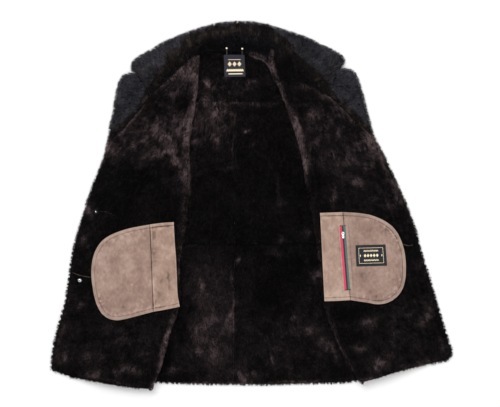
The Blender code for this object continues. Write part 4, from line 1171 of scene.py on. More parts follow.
def body_pile(name, grid, shown, light, seed, trims=(), edges=(), over=()):
    """The pile of a body piece: it fans down the coat, swirls slowly, and its locks, a
    centimetre wide, lean each their own way. It is sheared shorter near the lines of
    trims, each with how much is left on it and how far its trimming reaches, is tufted
    at its free edges, and half of it leans back over the seams named over."""
    points, normals, _ = scatter(grid, BODY_DENSITY, seed)
    plan = points[:, :2]
    kept = shown(plan)
    points, normals, plan = points[kept], normals[kept], plan[kept]
    rng = np.random.default_rng(seed + 1000)
    swirl = 0.6 * noise(plan, 130, 31) + 0.5 * noise(plan, 40, 32) + 0.5 * noise(plan, 10, 33)
    angle = np.arctan2(plan[:, 1] - COMBED_FROM, plan[:, 0]) + swirl + rng.normal(0, 0.22, len(points))
    for line in over:
        turned = (from_line(plan, line) < SEAM_NEAR) & (rng.random(len(points)) < 0.5)
        angle = np.where(turned, angle + math.pi, angle)
    shade = body_shade(plan, light(plan))
    lean = np.radians(40) + 0.2 * noise(plan, 26, 34) + 0.22 * noise(plan, 9, 35) + 0.05 * shade
    lean = np.clip(lean + rng.normal(0, 0.12, len(points)), 0.25, 1.25)
    length = STRAND + 1.2 * noise(plan, 12, 36) + rng.normal(0, 0.9, len(points))
    off_seam = ease(seam_distance(plan) / SEAM_NEAR)
    length = length * (0.75 + 0.25 * off_seam)
    for line, left, reach in trims:
        length = length * (left + (1 - left) * ease(from_line(plan, line) / reach))
    # Strands near a seam are darker too: painted shade in the seam's dip.
    shade = shade + 0.35 * rng.normal(0, 1, len(points)) - 0.45 * (1 - off_seam)
    tufted(plan, edges, angle, lean, length, seed + 2000)
    width = rng.uniform(*BODY_STRAND_WIDE, len(points))
    return strands(name, points, normals, heading(angle), lean, length, width, shade, FUR_SHADES, seed)


def seam_distance(points):
    """Distance from the seams of the back that show in the pile."""
    yoke = ((-260, YOKE_SEAM_Y), (200, YOKE_SEAM_Y))
    waist = ((-320, WAIST_SEAM_Y), (270, WAIST_SEAM_Y))
    return np.minimum.reduce([from_line(points, line) for line in (yoke, waist, CENTRE_BACK)])


# ---- Fronts ----

FINE_ROWS = np.unique(np.r_[FRONT_ROWS, np.linspace(0, 1, 100), 0.0012, 0.0035, 0.992, 0.9985].round(5))
FINE_COLUMNS = np.concatenate(
    [np.linspace(k, k + 1, n, endpoint=False) for k, n in enumerate((3, 6, 3, 7, 4, 4, 3, 4, 3, 3))] + [[10]]
)
COLUMN_BEFORE = np.minimum(FINE_COLUMNS.astype(int), len(COLUMNS) - 2)
COLUMN_SHARE = FINE_COLUMNS - COLUMN_BEFORE
SIDE_COLUMN = int(np.searchsorted(FINE_COLUMNS, COLUMN_NAMES.index("side")))
BELOW_COLUMNS = 6
TURN_STEPS = 12


def moved(points, aim, by):
    """Points moved by a distance towards others."""
    return points + by * unit(aim - points)


def between_columns(values):
    """Values at the fine columns from those at the named ones, straight between them."""
    share = COLUMN_SHARE.reshape(1, -1, *[1] * (values.ndim - 2))
    return values[:, COLUMN_BEFORE] * (1 - share) + values[:, COLUMN_BEFORE + 1] * share


def front_plan(side):
    """Plan points of a turned front at its fine rows and columns, its fold's line and
    unit steps across that, towards the free edge."""
    lines = LINES[side]
    fold = along(lines["fold"], FINE_ROWS)
    out = SIGN[side] * left_of(fold)
    rolled = fold + out * FOLD_OUTER
    names = ("sleeve_in", "side", "sleeve_out", "edge")
    sleeve_in, seam, sleeve_out, edge = (along(lines[name], FINE_ROWS) for name in names)
    columns = (
        rolled,
        moved(rolled, sleeve_in, FOLD_BLEND),
        sleeve_in,
        moved(sleeve_in, seam, SLEEVE_ROUND),
        seam,
        (seam + sleeve_out) / 2,
        moved(sleeve_out, seam, SLEEVE_ROUND),
        sleeve_out,
        moved(edge, sleeve_out, EDGE_ROUND),
        moved(edge, sleeve_out, EDGE_ROUND * ROUND_COLUMN),
        edge,
    )
    return between_columns(np.stack(columns, axis=1)), fold, out


def heap(with_sleeve=1.0):
    """Height of the layers below a turned front: the body's and the sleeve's."""
    body = np.array([share for _, share, _ in COLUMNS])
    sleeve = np.array([share for _, _, share in COLUMNS])
    below = np.zeros(len(FRONT_ROWS))
    first, last = SLEEVE_ROWS
    below[first : last + 1] = 1
    below[[first, last]] = SLEEVE_EDGE
    height = BODY_HEAP * body[None] + with_sleeve * SLEEVE_HEAP * np.minimum(below[:, None], sleeve[None])
    return blurred(between_columns(between(FINE_ROWS, FRONT_ROWS, height)), 5)


def front_skin(plan):
    """Height of a turned front's skin: on the layers below, up on its own roll at the
    fold, and with its creases, which fade out at the free edge."""
    height = heap()
    on_roll = 1 - ease(FINE_COLUMNS / 1.2)
    height = height + (FOLD_TOP - height) * on_roll[None]
    return height + ridges(plan) * ease(FINE_COLUMNS / 1.5)[None] * ease((10 - FINE_COLUMNS) / 2)[None]


def front_grids(side):
    """Fur side and skin side of a whole front: its return on the back, its rolled fold
    and its turned part. The pile is all loose on what shows, and felted below."""
    plan, fold, out = front_plan(side)
    skin = front_skin(plan)
    turned = pull_in(plan, 0, EDGE_INSET, SEAM / 2, EDGE_INSET)
    rolled, seam = plan[:, 0], plan[:, SIDE_COLUMN]
    hidden = np.linspace(1, 0, BELOW_COLUMNS)[None, :, None]
    below = rolled[:, None] * (1 - hidden) + seam[:, None] * hidden
    low = np.broadcast_to(PELT + LAYER_GAP + PELT, below.shape[:2])
    full = PELT + (UNDERFUR - PELT) * ease(np.linspace(0, 1, BELOW_COLUMNS) * 1.6 - 0.6)[None]
    fur_parts, skin_parts = [np.dstack([below, low - full])], [np.dstack([below, low])]
    angles = np.radians(np.linspace(-90, 90, TURN_STEPS)[1:-1])
    for radius, parts in ((FOLD_INNER + UNDERFUR, fur_parts), (FOLD_INNER, skin_parts)):
        turn = rolled[:, None] - out[:, None] * (radius * np.cos(angles))[None, :, None]
        rise = np.broadcast_to(FOLD_CENTRE + radius * np.sin(angles), turn.shape[:2])
        parts.append(np.dstack([turn, rise]))
    share = rounded(turned, 0, EDGE_ROUND, SEAM_ROUND, 0)
    fur_parts.append(np.dstack([turned, skin + thick(share, UNDERFUR)]))
    skin_parts.append(np.dstack([turned, skin]))
    fur, bare = np.concatenate(fur_parts, axis=1), np.concatenate(skin_parts, axis=1)
    from_hem = np.clip(np.linalg.norm(fold - fold[-1], axis=1) / EDGE_ROUND, 0, 1)
    wall_way = fur - bare
    length = np.linalg.norm(wall_way, axis=2, keepdims=True)
    kept = np.maximum(np.sqrt(1 - (1 - from_hem[:, None, None]) ** 2) * length, SKIN)
    return bare + unit(wall_way) * np.minimum(kept, length), bare


def pocket_outline(side):
    """A pocket's whole outline: along its mouth, foot, side and top."""
    lines = POCKETS[side]
    fine = np.linspace(0, 1, 12)
    parts = (
        along(lines["mouth"], fine),
        along(lines["strip_foot"], fine)[::-1],
        along(lines["bag_foot"], fine),
        along(lines["bag_side"], fine)[::-1],
        along(lines["bag_top"], fine)[::-1],
        along(lines["strip_top"], fine),
    )
    return [tuple(point) for part in parts for point in part[:-1]]


def make_front(side, seed):
    """A front: its pelt and the loose pile on what shows of it."""
    fur, bare = front_grids(side)
    points, faces, kind = wall(fur, bare)
    pelt = new_piece(f"front_{side}_pelt", points, faces, [UNDERFUR_BROWN, SUEDE_OUTER], kind, smooth=50)
    outline = pocket_outline(side)
    fold, edge = LINES[side]["fold"], LINES[side]["edge"]
    groove = fur[0, BELOW_COLUMNS + TURN_STEPS :: 3, :2]
    hem = fur[-1, BELOW_COLUMNS + 4 :: 4, :2]

    def shown(plan):
        clear = ~within(plan, outline) | (from_line(plan, outline + outline[:1]) < POCKET_COVERS)
        parted = [from_line(plan, slit) < SLIT_PARTS for slit, _ in SLITS[side]]
        if side == "left":
            parted += [np.linalg.norm(plan - stud, axis=-1) < STUD_PARTS for stud in STUDS]
        return clear & ~np.logical_or.reduce(parted)

    def light(plan):
        fold_middle = np.add(fold, (SIGN[side] * FOLD_LIT, 0))
        on_fold = line_light(plan, fold_middle, FOLD_LIGHT[side], at_height(plan[:, 1], FOLD_WIDE[side]))
        on_groove = line_light(plan, groove, GROOVE_LIGHT[side], GROOVE_WIDE)
        return on_fold + on_groove + line_light(plan, edge, EDGE_LIGHT[side], EDGE_WIDE)

    trims = ((outline + outline[:1], *POCKET_TRIM), (fold, *FOLD_TRIM))
    pile = body_pile(
        f"front_{side}_pile", fur[:, BELOW_COLUMNS:], shown, light, seed, trims, (edge, hem), (groove,)
    )
    declare(fur, [f"front_{side}"])
    return fur[:, BELOW_COLUMNS + TURN_STEPS - 2 :]


# ---- Back, sleeves, collar and lapels ----


def part_line(line, top_y, foot_y):
    """The stretch of a line between two heights, as a short line of its own."""
    fine = along(line, np.linspace(0, 1, 201))
    heights = np.linspace(top_y, foot_y, 5)
    return tuple(zip(across_at(heights, fine), heights))


HEM_SHOWS = -424  # below this the back's pile shows past the fronts' hems
PANEL_FOOT_Y = -400  # a lower panel's side lines stop above this, before the hem's corners
HEM_CORNER = 20  # the hem's points are at least this far from the centre seam
UNDER_FOLD, UNDER_COLLAR = 10, 6  # how far the back's pile goes on under them

# Steps of the back's grids: how many, and about how far they go.
YOKE_STEPS = ((48, 430), (13, 90))
PANEL_STEPS = ((30, 260), (38, 350))


def between_folds(plan):
    """Points of the back that the turned fronts leave bare, and a little under them."""
    west, east = (across_at(plan[:, 1], LINES[side]["fold"]) for side in SIDES)
    collar = np.array(COLLAR_NECK["left"][::-1] + COLLAR_NECK["right"][1:], float)
    under_collar = np.interp(plan[:, 0], collar[:, 0], collar[:, 1])
    on_hem = plan[:, 1] < HEM_SHOWS
    bare = (plan[:, 0] > west - UNDER_FOLD) & (plan[:, 0] < east + UNDER_FOLD)
    return bare & (plan[:, 1] < under_collar + UNDER_COLLAR) | on_hem


def back_light(plan):
    """Light on the back's hem and on its centre seam."""
    hem = line_light(plan, BACK_HEM, HEM_LIGHT, HEM_WIDE)
    return hem + line_light(plan, CENTRE_BACK, CENTRE_LIGHT, CENTRE_WIDE)


def make_panel(name, grid, lower, full, finishes, rounding, drop=0.0):
    """A pelt piece on its plan grid, from its underside's heights to its felted pile's
    top, which falls to the skin at its rounded edges. Its underside may drop further.
    Gives it and its top."""
    sheet = np.dstack([grid, lower + thick(rounded(grid, *rounding), full)])
    points, faces, kind = wall(sheet, np.dstack([grid, lower - drop]))
    return new_piece(name, points, faces, finishes, kind, smooth=50), sheet


def lay_back(name, grid, rounding, seed, edges=()):
    """One panel of the back, flat on the surface, with its pile."""
    finishes = [UNDERFUR_BROWN, SUEDE_OUTER]
    pelt, sheet = make_panel(f"{name}_pelt", grid, np.zeros(grid.shape[:2]), UNDERFUR, finishes, rounding)
    pile = body_pile(f"{name}_pile", sheet, between_folds, back_light, seed, edges=edges)
    declare(sheet, [name])


def make_back():
    """Yoke, two upper and two lower back panels."""
    sides = {side: LINES[side]["side"] for side in SIDES}
    cuts = {side: part_line(sides[side], YOKE_SEAM_Y, WAIST_SEAM_Y)[0] for side in SIDES}
    top = (SHOULDERS["left"],) + NECK + (SHOULDERS["right"],)
    west, east = (SHOULDERS["left"], cuts["left"]), (SHOULDERS["right"], cuts["right"])
    across, down = (steps(*spans, SEAM_ROUND) for spans in YOKE_STEPS)
    grid = line_patch(west, east, top, (cuts["left"], cuts["right"]), across, down)
    grid = pull_in(grid, SEAM, SEAM, SEAM, SEAM / 2)
    lay_back("back_yoke", grid, (EDGE_ROUND, EDGE_ROUND, 0, SEAM_ROUND), 101)

    hem_middle = CENTRE_BACK[-1]
    levels = (
        ("upper", YOKE_SEAM_Y, WAIST_SEAM_Y, SEAM_ROUND), ("lower", WAIST_SEAM_Y, PANEL_FOOT_Y, EDGE_ROUND),
    )
    for level, top_y, foot_y, foot_round in levels:
        for side, sign in SIGN.items():
            middle = part_line(CENTRE_BACK, top_y, foot_y)
            outer = part_line(sides[side], top_y, foot_y)
            foot = (middle[-1], outer[-1])
            inset = SEAM / 2
            if level == "lower":
                hem = [p for p in BACK_HEM if (p[0] - hem_middle[0]) * sign > HEM_CORNER]
                foot = (hem_middle, *sorted(hem, key=lambda p: p[0] * sign))
                middle = middle[:-1] + foot[:1]
                outer = outer[:-1] + foot[-1:]
                inset = EDGE_INSET
            across, down = (steps(*spans, SEAM_ROUND) for spans in PANEL_STEPS)
            grid = line_patch(middle, outer, (middle[0], outer[0]), foot, across, down)
            grid = pull_in(grid, SEAM / 2, SEAM / 2, SEAM / 2, inset)
            if side == "left":
                grid = grid[:, ::-1]
            rounding = (SEAM_ROUND, EDGE_ROUND) if side == "right" else (EDGE_ROUND, SEAM_ROUND)
            name = f"back_{level}_{side}"
            seed = 110 + len(name) + 7 * sign
            lay_back(name, grid, (*rounding, SEAM_ROUND, foot_round), seed, (BACK_HEM,))


def make_sleeve(side):
    """A sleeve pressed flat between the body and a turned front: its top half on its
    under half, open at cap and cuff."""
    plan = front_plan(side)[0]
    first, last = (int(np.searchsorted(FINE_ROWS, FRONT_ROWS[row])) for row in SLEEVE_ROWS)
    start = int(np.searchsorted(FINE_COLUMNS, 2))
    end = int(np.searchsorted(FINE_COLUMNS, 7)) + 1
    region = (slice(first, last + 1), slice(start, end))
    plan, over = plan[region], heap()[region] - LAYER_GAP
    under = heap(with_sleeve=0.0)[region]
    share = np.ones(plan.shape[:2])
    share[[0, -1]] = share[:, 0] = share[:, -1] = 0
    wall_high = np.minimum(thick(share, SLEEVE_PELT), (over - under - LAYER_GAP / 2) / 2)
    middle = (over + under) / 2
    bore = plan.copy()
    bore[:, 0] = moved(plan[:, 0], plan[:, 1], SLEEVE_PELT / 4)
    bore[:, -1] = moved(plan[:, -1], plan[:, -2], SLEEVE_PELT / 4)
    gap = LAYER_GAP / 4
    levels = (middle + gap + wall_high, middle + gap, middle - gap, middle - gap - wall_high)
    sheets = [np.dstack(pair) for pair in zip((plan, bore, bore, plan), levels)]
    rows, cols = plan.shape[:2]
    index = np.arange(4 * rows * cols).reshape(4, rows, cols)

    faces = []

    def add(a, b, c, d, turned):
        quads = np.stack([a, b, c, d], -1).reshape(-1, 4)
        faces.append(quads[:, ::-1] if turned else quads)

    def add_strip(a, b, turned):
        add(a[:-1], a[1:], b[1:], b[:-1], turned)

    for a, turned in zip(index, (False, True, False, True)):
        add(a[:-1, :-1], a[1:, :-1], a[1:, 1:], a[:-1, 1:], turned)
    for column, turned in ((0, True), (-1, False)):
        for upper, lower in ((0, 3), (1, 2)):
            add_strip(index[upper, :, column], index[lower, :, column], turned ^ (upper == 1))
    for row, turned in ((0, False), (-1, True)):
        for upper, lower in ((0, 1), (2, 3)):
            add_strip(index[upper, row], index[lower, row], turned)
    for row, turned in ((0, False), (-1, True)):
        for column, flipped in ((0, False), (-1, True)):
            add(*index[:, row, column], turned ^ flipped)
    points = np.concatenate([sheet.reshape(-1, 3) for sheet in sheets])
    faces = outwards(points, np.concatenate(faces))
    piece = new_piece(f"sleeve_{side}_cloth", points, faces, [SUEDE_OUTER], smooth=50)
    width, length, area = lengths(sheets[0])
    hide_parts(f"sleeve_{side}")
    2 * min(area, width * length)


COLLAR_ROLL = (5.0, 0.42, 0.22)  # height, middle and half width, the last two as shares across
NECK_FOLD_RISE = (3.5, 7)  # how high the front's fold lifts the collar, and how wide
# Steps down and across of their grids, and about how wide they are.
COLLAR_STEPS, COLLAR_WIDE = (40, 14), 90
LAPEL_STEPS, LAPEL_WIDE = (26, 12), 60
LAPEL_FOOT = 0.985  # of its length, where it meets the front's free edge
# How far the pile turns from up the coat towards the free side, at shares down the piece.
COLLAR_FAN = ((0, 0.5, 1), (0, 0.55, 0.9))
LAPEL_FAN = ((0, 1), (1.2, 2.0))


def beyond_roll(points):
    """Distance past the line where the collar and lapels roll over, less inside it."""
    outline = list(ROLL_LINE) + [(400, 0), (-450, 0)]
    far = from_line(points, ROLL_LINE)
    return np.where(within(points, outline), -far, far)


def collar_pile(name, grid, side, lapel, edges, seed):
    """The denser pile of collar and lapels, which runs outwards from the neck: near black inside the roll,
    brown tips along it, cool greys outside, which are a painted sheen where the pile turns to the light, and
    palest at the rim, a painted highlight.
    Its free edges are tufted. Brown mixes in at the collar's points. The pile of a
    lapel's foot runs down over the front's. By the neck the front's brown pile shows on
    the right, with the top of its lit fold, and brown mixes in towards both sides."""
    points, normals, (across, down) = scatter(grid, COLLAR_DENSITY, seed)
    plan = points[:, :2]
    count = len(plan)
    rng = np.random.default_rng(seed + 1000)
    past = beyond_roll(plan) + 7 * noise(plan, 22, 44) + 4 * noise(plan, 7, 49)
    strokes = combed(plan, 53)
    mottle = 0.5 * noise(plan, 40, 41) + 0.6 * noise(plan, 16, 42) + 0.5 * noise(plan, 7, 43)
    # Outside the roll the pile is grey, a painted sheen, and lighter towards the rim, a painted highlight.
    grey = 2.7 + 0.85 * mottle + 0.6 * ease((across - 0.8) / 0.2) - 0.5 * bell(past - 34, 14)
    dark = 0.2 + 0.9 * np.maximum(mottle, 0)
    shade = dark + (grey - dark) * ease((past + 3) / 12)
    shade = np.clip(shade + 0.4 * rng.normal(0, 1, count), 0, 4)
    clump = 0.5 * noise(plan, 18, 50) + 0.6 * noise(plan, 9, 51) + 0.5 * strokes
    on_roll = bell(past + 7, 15) * (0.75 + 0.5 * clump)
    if not lapel:
        on_roll = np.maximum(on_roll, 0.4 * ease((np.abs(plan[:, 0] - CENTRE_BACK[0][0]) - 205) / 50))
    tipped = rng.random(count) < on_roll
    shade = np.where(tipped, 5 + ease(0.15 + 0.9 * clump), shade)
    lit = line_light(plan, NECK_FOLD, NECK_FOLD_LIGHT, NECK_FOLD_WIDE)
    lit = lit + line_light(plan, NECK_EDGE, NECK_EDGE_LIGHT, NECK_EDGE_WIDE)
    turned = within(plan + 3 * rng.normal(0, 1, (count, 1)), NECK_TURN)
    in_shade = (past < 2) & (rng.random(count) < ease((np.abs(plan[:, 0] + 5) - 50) / 45))
    brown = 0.5 + 1.6 * lit + 0.9 * np.maximum(mottle, 0) + 0.5 * np.maximum(strokes, 0)
    brown = len(COLLAR_SHADES) + np.clip(brown, 0, len(FUR_SHADES) - 1)
    shade = np.where((turned | in_shade) & ~tipped | (lit > 0.5), brown, shade)
    up = math.pi / 2
    shares, turns = LAPEL_FAN if lapel else COLLAR_FAN
    angle = np.interp(down, shares, [up - SIGN[side] * turn for turn in turns])
    angle = angle + 0.5 * noise(plan, 30, 45) + 0.6 * noise(plan, 9, 46)
    angle = np.where((across < 0.12) & (rng.random(count) < 0.5), angle + math.pi, angle)
    angle = angle + rng.normal(0, 0.25, count)
    lean = np.clip(0.65 + 0.2 * noise(plan, 9, 47) + rng.normal(0, 0.14, count), 0.2, 1.2)
    length = STRAND + 1.2 * noise(plan, 12, 48) + rng.normal(0, 0.7, count)
    if lapel:
        foot = ease((down - 0.86) / 0.12)
        angle = angle + foot * (-math.pi / 2 - angle)
        lean, length = lean + 0.35 * foot, length * (1 + 0.3 * foot)
        shade = np.where(rng.random(count) < 0.7 * foot, len(COLLAR_SHADES) + 1.5 + mottle, shade)
    tufted(plan, edges, angle, lean, length, seed + 2000)
    width = rng.uniform(*COLLAR_STRAND_WIDE, count)
    shades = COLLAR_SHADES + FUR_SHADES
    flow = heading(angle)
    return strands(name, points, normals, flow, lean, length, width, shade, shades, seed)


def top_row(side):
    """A turned front's top row, where collar and lapel join it: plan points, and the
    heights of its skin."""
    plan = front_plan(side)[0]
    return plan[0], front_skin(plan)[0]


def lay_collar(part, side, grid, lower, drop, edges, seed):
    """The pelt and the pile of a collar half or a lapel on its plan grid."""
    name = f"{part}_{side}"
    rounding = (SEAM_ROUND, EDGE_ROUND, SEAM_ROUND, SEAM_ROUND)
    finishes = [UNDERFUR_COLLAR, SUEDE_OUTER]
    pelt, sheet = make_panel(f"{name}_pelt", grid, lower, COLLAR_UNDERFUR, finishes, rounding, drop)
    pile = collar_pile(f"{name}_pile", sheet, side, part == "lapel", edges, seed)
    declare(sheet, [name])


def make_collar(side, seed):
    """Half of the collar, from the centre seam to its rounded point. It stands up from
    the neck, where its edge is sewn down to the yoke, rolls over, and falls to its edge."""
    lines = LINES[side]
    row, height = top_row(side)
    neck = np.asarray(COLLAR_NECK[side], float)
    inner = np.vstack([neck, row[: SIDE_COLUMN + 1]])
    on_yoke = PELT + LAYER_GAP
    climb = np.linspace(0, COLLAR_CLIMB, len(neck)) ** 3
    height = np.r_[on_yoke + (FOLD_TOP - on_yoke) * climb, height[: SIDE_COLUMN + 1]]
    reach = reach_along(inner)
    fraction = reach / reach[-1]
    down = steps(COLLAR_STEPS[0], reach[-1], SEAM_ROUND)
    across = steps(COLLAR_STEPS[1], COLLAR_WIDE, EDGE_ROUND / 2)
    inner = between(down, fraction, inner)
    height = np.interp(down, fraction, height)
    middle = along((inner[0], lines["collar_top"][0]), across)
    end = along(lines["collar_end"], across)
    grid = patch(inner, along(lines["collar_top"], down), middle, end, across, down)
    grid = pull_in(grid, SEAM, EDGE_INSET, SEAM / 2, SEAM / 2)
    lower = height[:, None] * (1 - ease((across[None] - COLLAR_STAND) / (1 - COLLAR_STAND)))
    roll_high, roll_middle, roll_wide = COLLAR_ROLL
    roll = roll_high * bell(across - roll_middle, roll_wide)
    lower = blurred(lower, 2) + roll[None] * (0.75 + 0.25 * noise(grid, 50, 51))
    fold_high, fold_wide = NECK_FOLD_RISE
    lower = lower + fold_high * bell(from_line(grid, NECK_FOLD), fold_wide)
    at_neck = (down <= fraction[len(neck) - 1])[:, None] * (1 - ease(across / across[NECK_COLUMNS]))[None]
    edges = (lines["collar_top"], lines["collar_end"])
    lay_collar("collar", side, grid, lower, (lower - UNDERFUR) * at_neck, edges, seed)


def make_lapel(side, seed):
    """A lapel, from the gorge seam and notch down to where the front's edge starts."""
    lines = LINES[side]
    row, height = top_row(side)
    reach = reach_along(row[SIDE_COLUMN:])
    fraction = reach / reach[-1]
    down = np.r_[steps(LAPEL_STEPS[0], reach[-1], SEAM_ROUND)[:-4], LAPEL_FOOT]
    across = steps(LAPEL_STEPS[1], LAPEL_WIDE, EDGE_ROUND / 2)
    groove = between(down, fraction, row[SIDE_COLUMN:])
    height = np.interp(down, fraction, height[SIDE_COLUMN:])
    foot_point = row[-1]
    foot = np.repeat(foot_point[None], len(across), axis=0)
    top = along(lines["lapel_top"], across)
    edge = along(lines["lapel_edge"], down)
    whole = np.r_[down, 1.0]
    groove = np.vstack([groove, foot_point])
    edge = np.vstack([edge, along(lines["lapel_edge"], [1.0])])
    grid = patch(groove, edge, top, foot, across, whole)[:-1]
    grid = pull_in(grid, SEAM, EDGE_INSET, SEAM / 2, 0)
    lower = height[:, None] * (1 - ease(across[None]))
    edges = (lines["lapel_edge"], lines["lapel_top"])
    lay_collar("lapel", side, grid, lower, 0.0, edges, seed)


# ---- Pockets ----

# A height map's cell, a pocket's length, and for each of its two parts the line that it
# reaches to from the seam, its width and its finish.
MAP_CELL = 4.0
POCKET_LONG = 222
POCKET_PIECES = (("strip", "mouth", 62, SUEDE_STRIP), ("bag", "bag_side", 140, SUEDE_BAG))


def height_map(sheet):
    """Tops of a sheet as a square map: its corner and the highest point of the sheet in
    each cell. The sheet's cells are cut six ways so that no map cell is missed."""
    fine = np.linspace(0, 1, 6, endpoint=False)
    v, u = (a.ravel()[:, None, None, None] for a in np.meshgrid(fine, fine))
    at = (
        (sheet[:-1, :-1] * (1 - u) + sheet[:-1, 1:] * u) * (1 - v)
        + (sheet[1:, :-1] * (1 - u) + sheet[1:, 1:] * u) * v
    ).reshape(-1, 3)
    corner = at[:, :2].min(0) - MAP_CELL
    place = ((at[:, :2] - corner) / MAP_CELL).astype(int)
    heights = np.zeros(place.max(0) + 3)
    np.maximum.at(heights, (place[:, 0], place[:, 1]), at[:, 2])
    return corner, blurred(heights, 2)


def height_at(heights, points):
    """Height of a map at points, straight between the middles of its cells."""
    corner, table = heights
    at = np.clip((points - corner) / MAP_CELL - 0.5, 0, np.array(table.shape) - 1.001)
    i = at.astype(int)
    a, b = np.moveaxis(at - i, -1, 0)
    i, j = np.moveaxis(i, -1, 0)
    low = table[i, j] * (1 - a) + table[i + 1, j] * a
    return low * (1 - b) + (table[i, j + 1] * (1 - a) + table[i + 1, j + 1] * a) * b


def near_ends(width, reach=16.0, fine=1.6, coarse=2.5):
    """Fractions of a width, in finer steps near both ends, and finest where they round off."""
    first = np.r_[0, 0.3, 0.8, np.arange(1.6, reach, fine)]
    return np.r_[first, np.arange(reach, width - reach, coarse), width - first[::-1]] / width


def pocket_edge(side):
    """A pocket's sewn edge, from its mouth's top round the bag to its mouth's foot."""
    lines = POCKETS[side]
    fine = np.linspace(0, 1, 40)
    parts = (
        along(lines["strip_top"], fine)[::-1], along(lines["bag_top"], fine), along(lines["bag_side"], fine),
        along(lines["bag_foot"], fine)[::-1], along(lines["strip_foot"], fine),
    )
    return np.concatenate([part[1:] for part in parts])


# The left lip beside the zip: height, middle across it and width. The right one's
# height, and from where and over what width it rises and falls.
LEFT_LIP = (3.0, -8.3, 1.7)
RIGHT_LIP = (3.0, (5.6, 1.4), (12.4, 2.2))
LIP_ENDS = (5, 4)  # how far the lips run past the zip, and over what length they fade
# Pale and dark bands in the suede along the zip: strength, middle across it and width.
ZIP_BANDS = ((0.75, -8.3, 1.4), (0.5, 8.5, 2.0), (0.9, 13.0, 1.2), (-0.9, 15.6, 1.2), (-0.7, -11.2, 1.1))


def zip_frame(plan):
    """How far points lie down the pocket's zip, and across it to the right."""
    return (plan - ZIP_TOP) @ ZIP_DOWN, (plan - ZIP_TOP) @ ZIP_ACROSS


def worked_suede(side, plan):
    """Relief in millimetres and tone from -1 to 1 of a pocket's suede. Its edge band stands up outside the
    groove of its stitches, paler towards the edge, partly wear and partly a painted highlight, and the groove
    is darkened, a painted shade. The stitches gather puckers inside them, whose ridges are lightened, painted
    highlights. The mouth is turned over, with a painted highlight along its fold. The seam beside the strip
    is sunk and dark, a painted shade, with a painted highlight on the strip beside it at the left pocket's
    top and foot. Two lips stand up beside the zip, with pale and dark bands along them."""
    lines = POCKETS[side]
    rim = from_line(plan, pocket_edge(side))
    mouth = from_line(plan, along(lines["mouth"], np.linspace(0, 1, 9)))
    seam = from_line(plan, lines["seam"])
    past_seam = plan[..., 0] - across_at(plan[..., 1], lines["seam"])
    in_strip = past_seam * SIGN[side] < 0
    pucker = ovals(plan, PUCKERS[side]) * noise(plan, 5, 61) * bell(rim - 13, 5)
    relief = 0.6 * noise(plan, 55, 62) + 0.35 * noise(plan, 17, 63) + 1.5 * pucker
    relief += 0.7 * (1 - ease((rim - 5.5) / 2.5)) - 0.7 * bell(rim - BAND, 1.3)
    relief += 0.5 * bell(mouth, 2.5) - 0.9 * bell(seam, 1.2)
    relief -= SEATED * (1 - ease(rim / 7))
    tone = 0.45 * noise(plan, 38, 64) + 0.4 * noise(plan, 15, 65) + 0.3 * noise(plan, 6, 66)
    # Pucker ridges are lightened: painted highlights. The marks make the suede paler or darker in patches.
    tone = np.clip(tone, -0.6, 0.7) + ovals(plan, SUEDE_MARKS[side]) + 2.6 * np.maximum(pucker, -0.12)
    # Paler at the edge and on its raised band, partly wear and partly a painted highlight, and a painted
    # highlight on the mouth's turned fold.
    tone += 0.9 * bell(rim, 2.6) + 0.5 * (1 - ease((rim - 6) / 2)) + 0.7 * bell(mouth, 2.4)
    # The stitches' groove is darkened: painted shade.
    lined = np.where(in_strip & (plan[..., 1] > -130), 1.6, np.where(in_strip, 1.3, 1.0)) * LINE_DARK[side]
    tone -= lined * bell(rim - BAND, 1.2)
    # A painted highlight where the suede rises again inside the groove.
    tone += 0.4 * bell(rim - BAND - 3.2, 1.6) * (0.6 + 0.8 * noise(plan, 5, 67))
    # The sunk seam is darkened: painted shade.
    tone -= 1.5 * LINE_DARK[side] * bell(seam, 1.15)
    if side == "right":
        down, across = zip_frame(plan)
        past, fade = LIP_ENDS
        open_here = ease((down + past) / fade) * ease((ZIP_LENGTH + past - down) / fade)
        high, middle, wide = LEFT_LIP
        lip = high * bell(across - middle, wide)
        high, (rise, rise_over), (fall, fall_over) = RIGHT_LIP
        lip += high * (ease((across - rise) / rise_over) - ease((across - fall) / fall_over))
        relief += open_here * (lip + 0.9 * bell(seam, 1.2))
        tone += open_here * 1.5 * bell(seam, 1.15)
        for strength, middle, wide in ZIP_BANDS:
            tone += open_here * strength * bell(across - middle, wide)
    else:
        tone -= 0.45 * in_strip
        # A painted highlight on the strip beside the seam, at its top and foot.
        ends = ease((plan[..., 1] + 105) / 40) + ease((-plan[..., 1] - 150) / 40)
        tone += 1.1 * ends * bell(past_seam - 3.2, 1.4)
    return relief, np.clip(tone, -1.4, 1.2)


def stitch_line(side):
    """Middles and runs of the stitches inside a pocket's sewn edge."""
    edge = pocket_edge(side)
    line = edge - BAND * SIGN[side] * left_of(edge)
    reach = reach_along(line)
    at = np.arange(3, reach[-1] - 3, STITCH_STEP)
    middles = between(at, reach, line)
    return middles, between(at + 1, reach, line) - middles


def resting(sheets, points):
    """Height of the nearest point of some sheets to each point."""
    flat = np.concatenate([sheet.reshape(-1, 3) for sheet in sheets])
    far = ((points[:, None] - flat[None, :, :2]) ** 2).sum(-1)
    return flat[far.argmin(1), 2]


# A stitch at five stations: their places as shares of its length, their heights, and
# their widths as shares of the thread's.
BEAD_AT = np.array([-0.5, -0.42, 0, 0.42, 0.5])
BEAD_HIGH = (-0.25, 0, 0.08, 0, -0.25)
BEAD_WIDE = np.array([0.5, 0.85, 1, 0.85, 0.5])


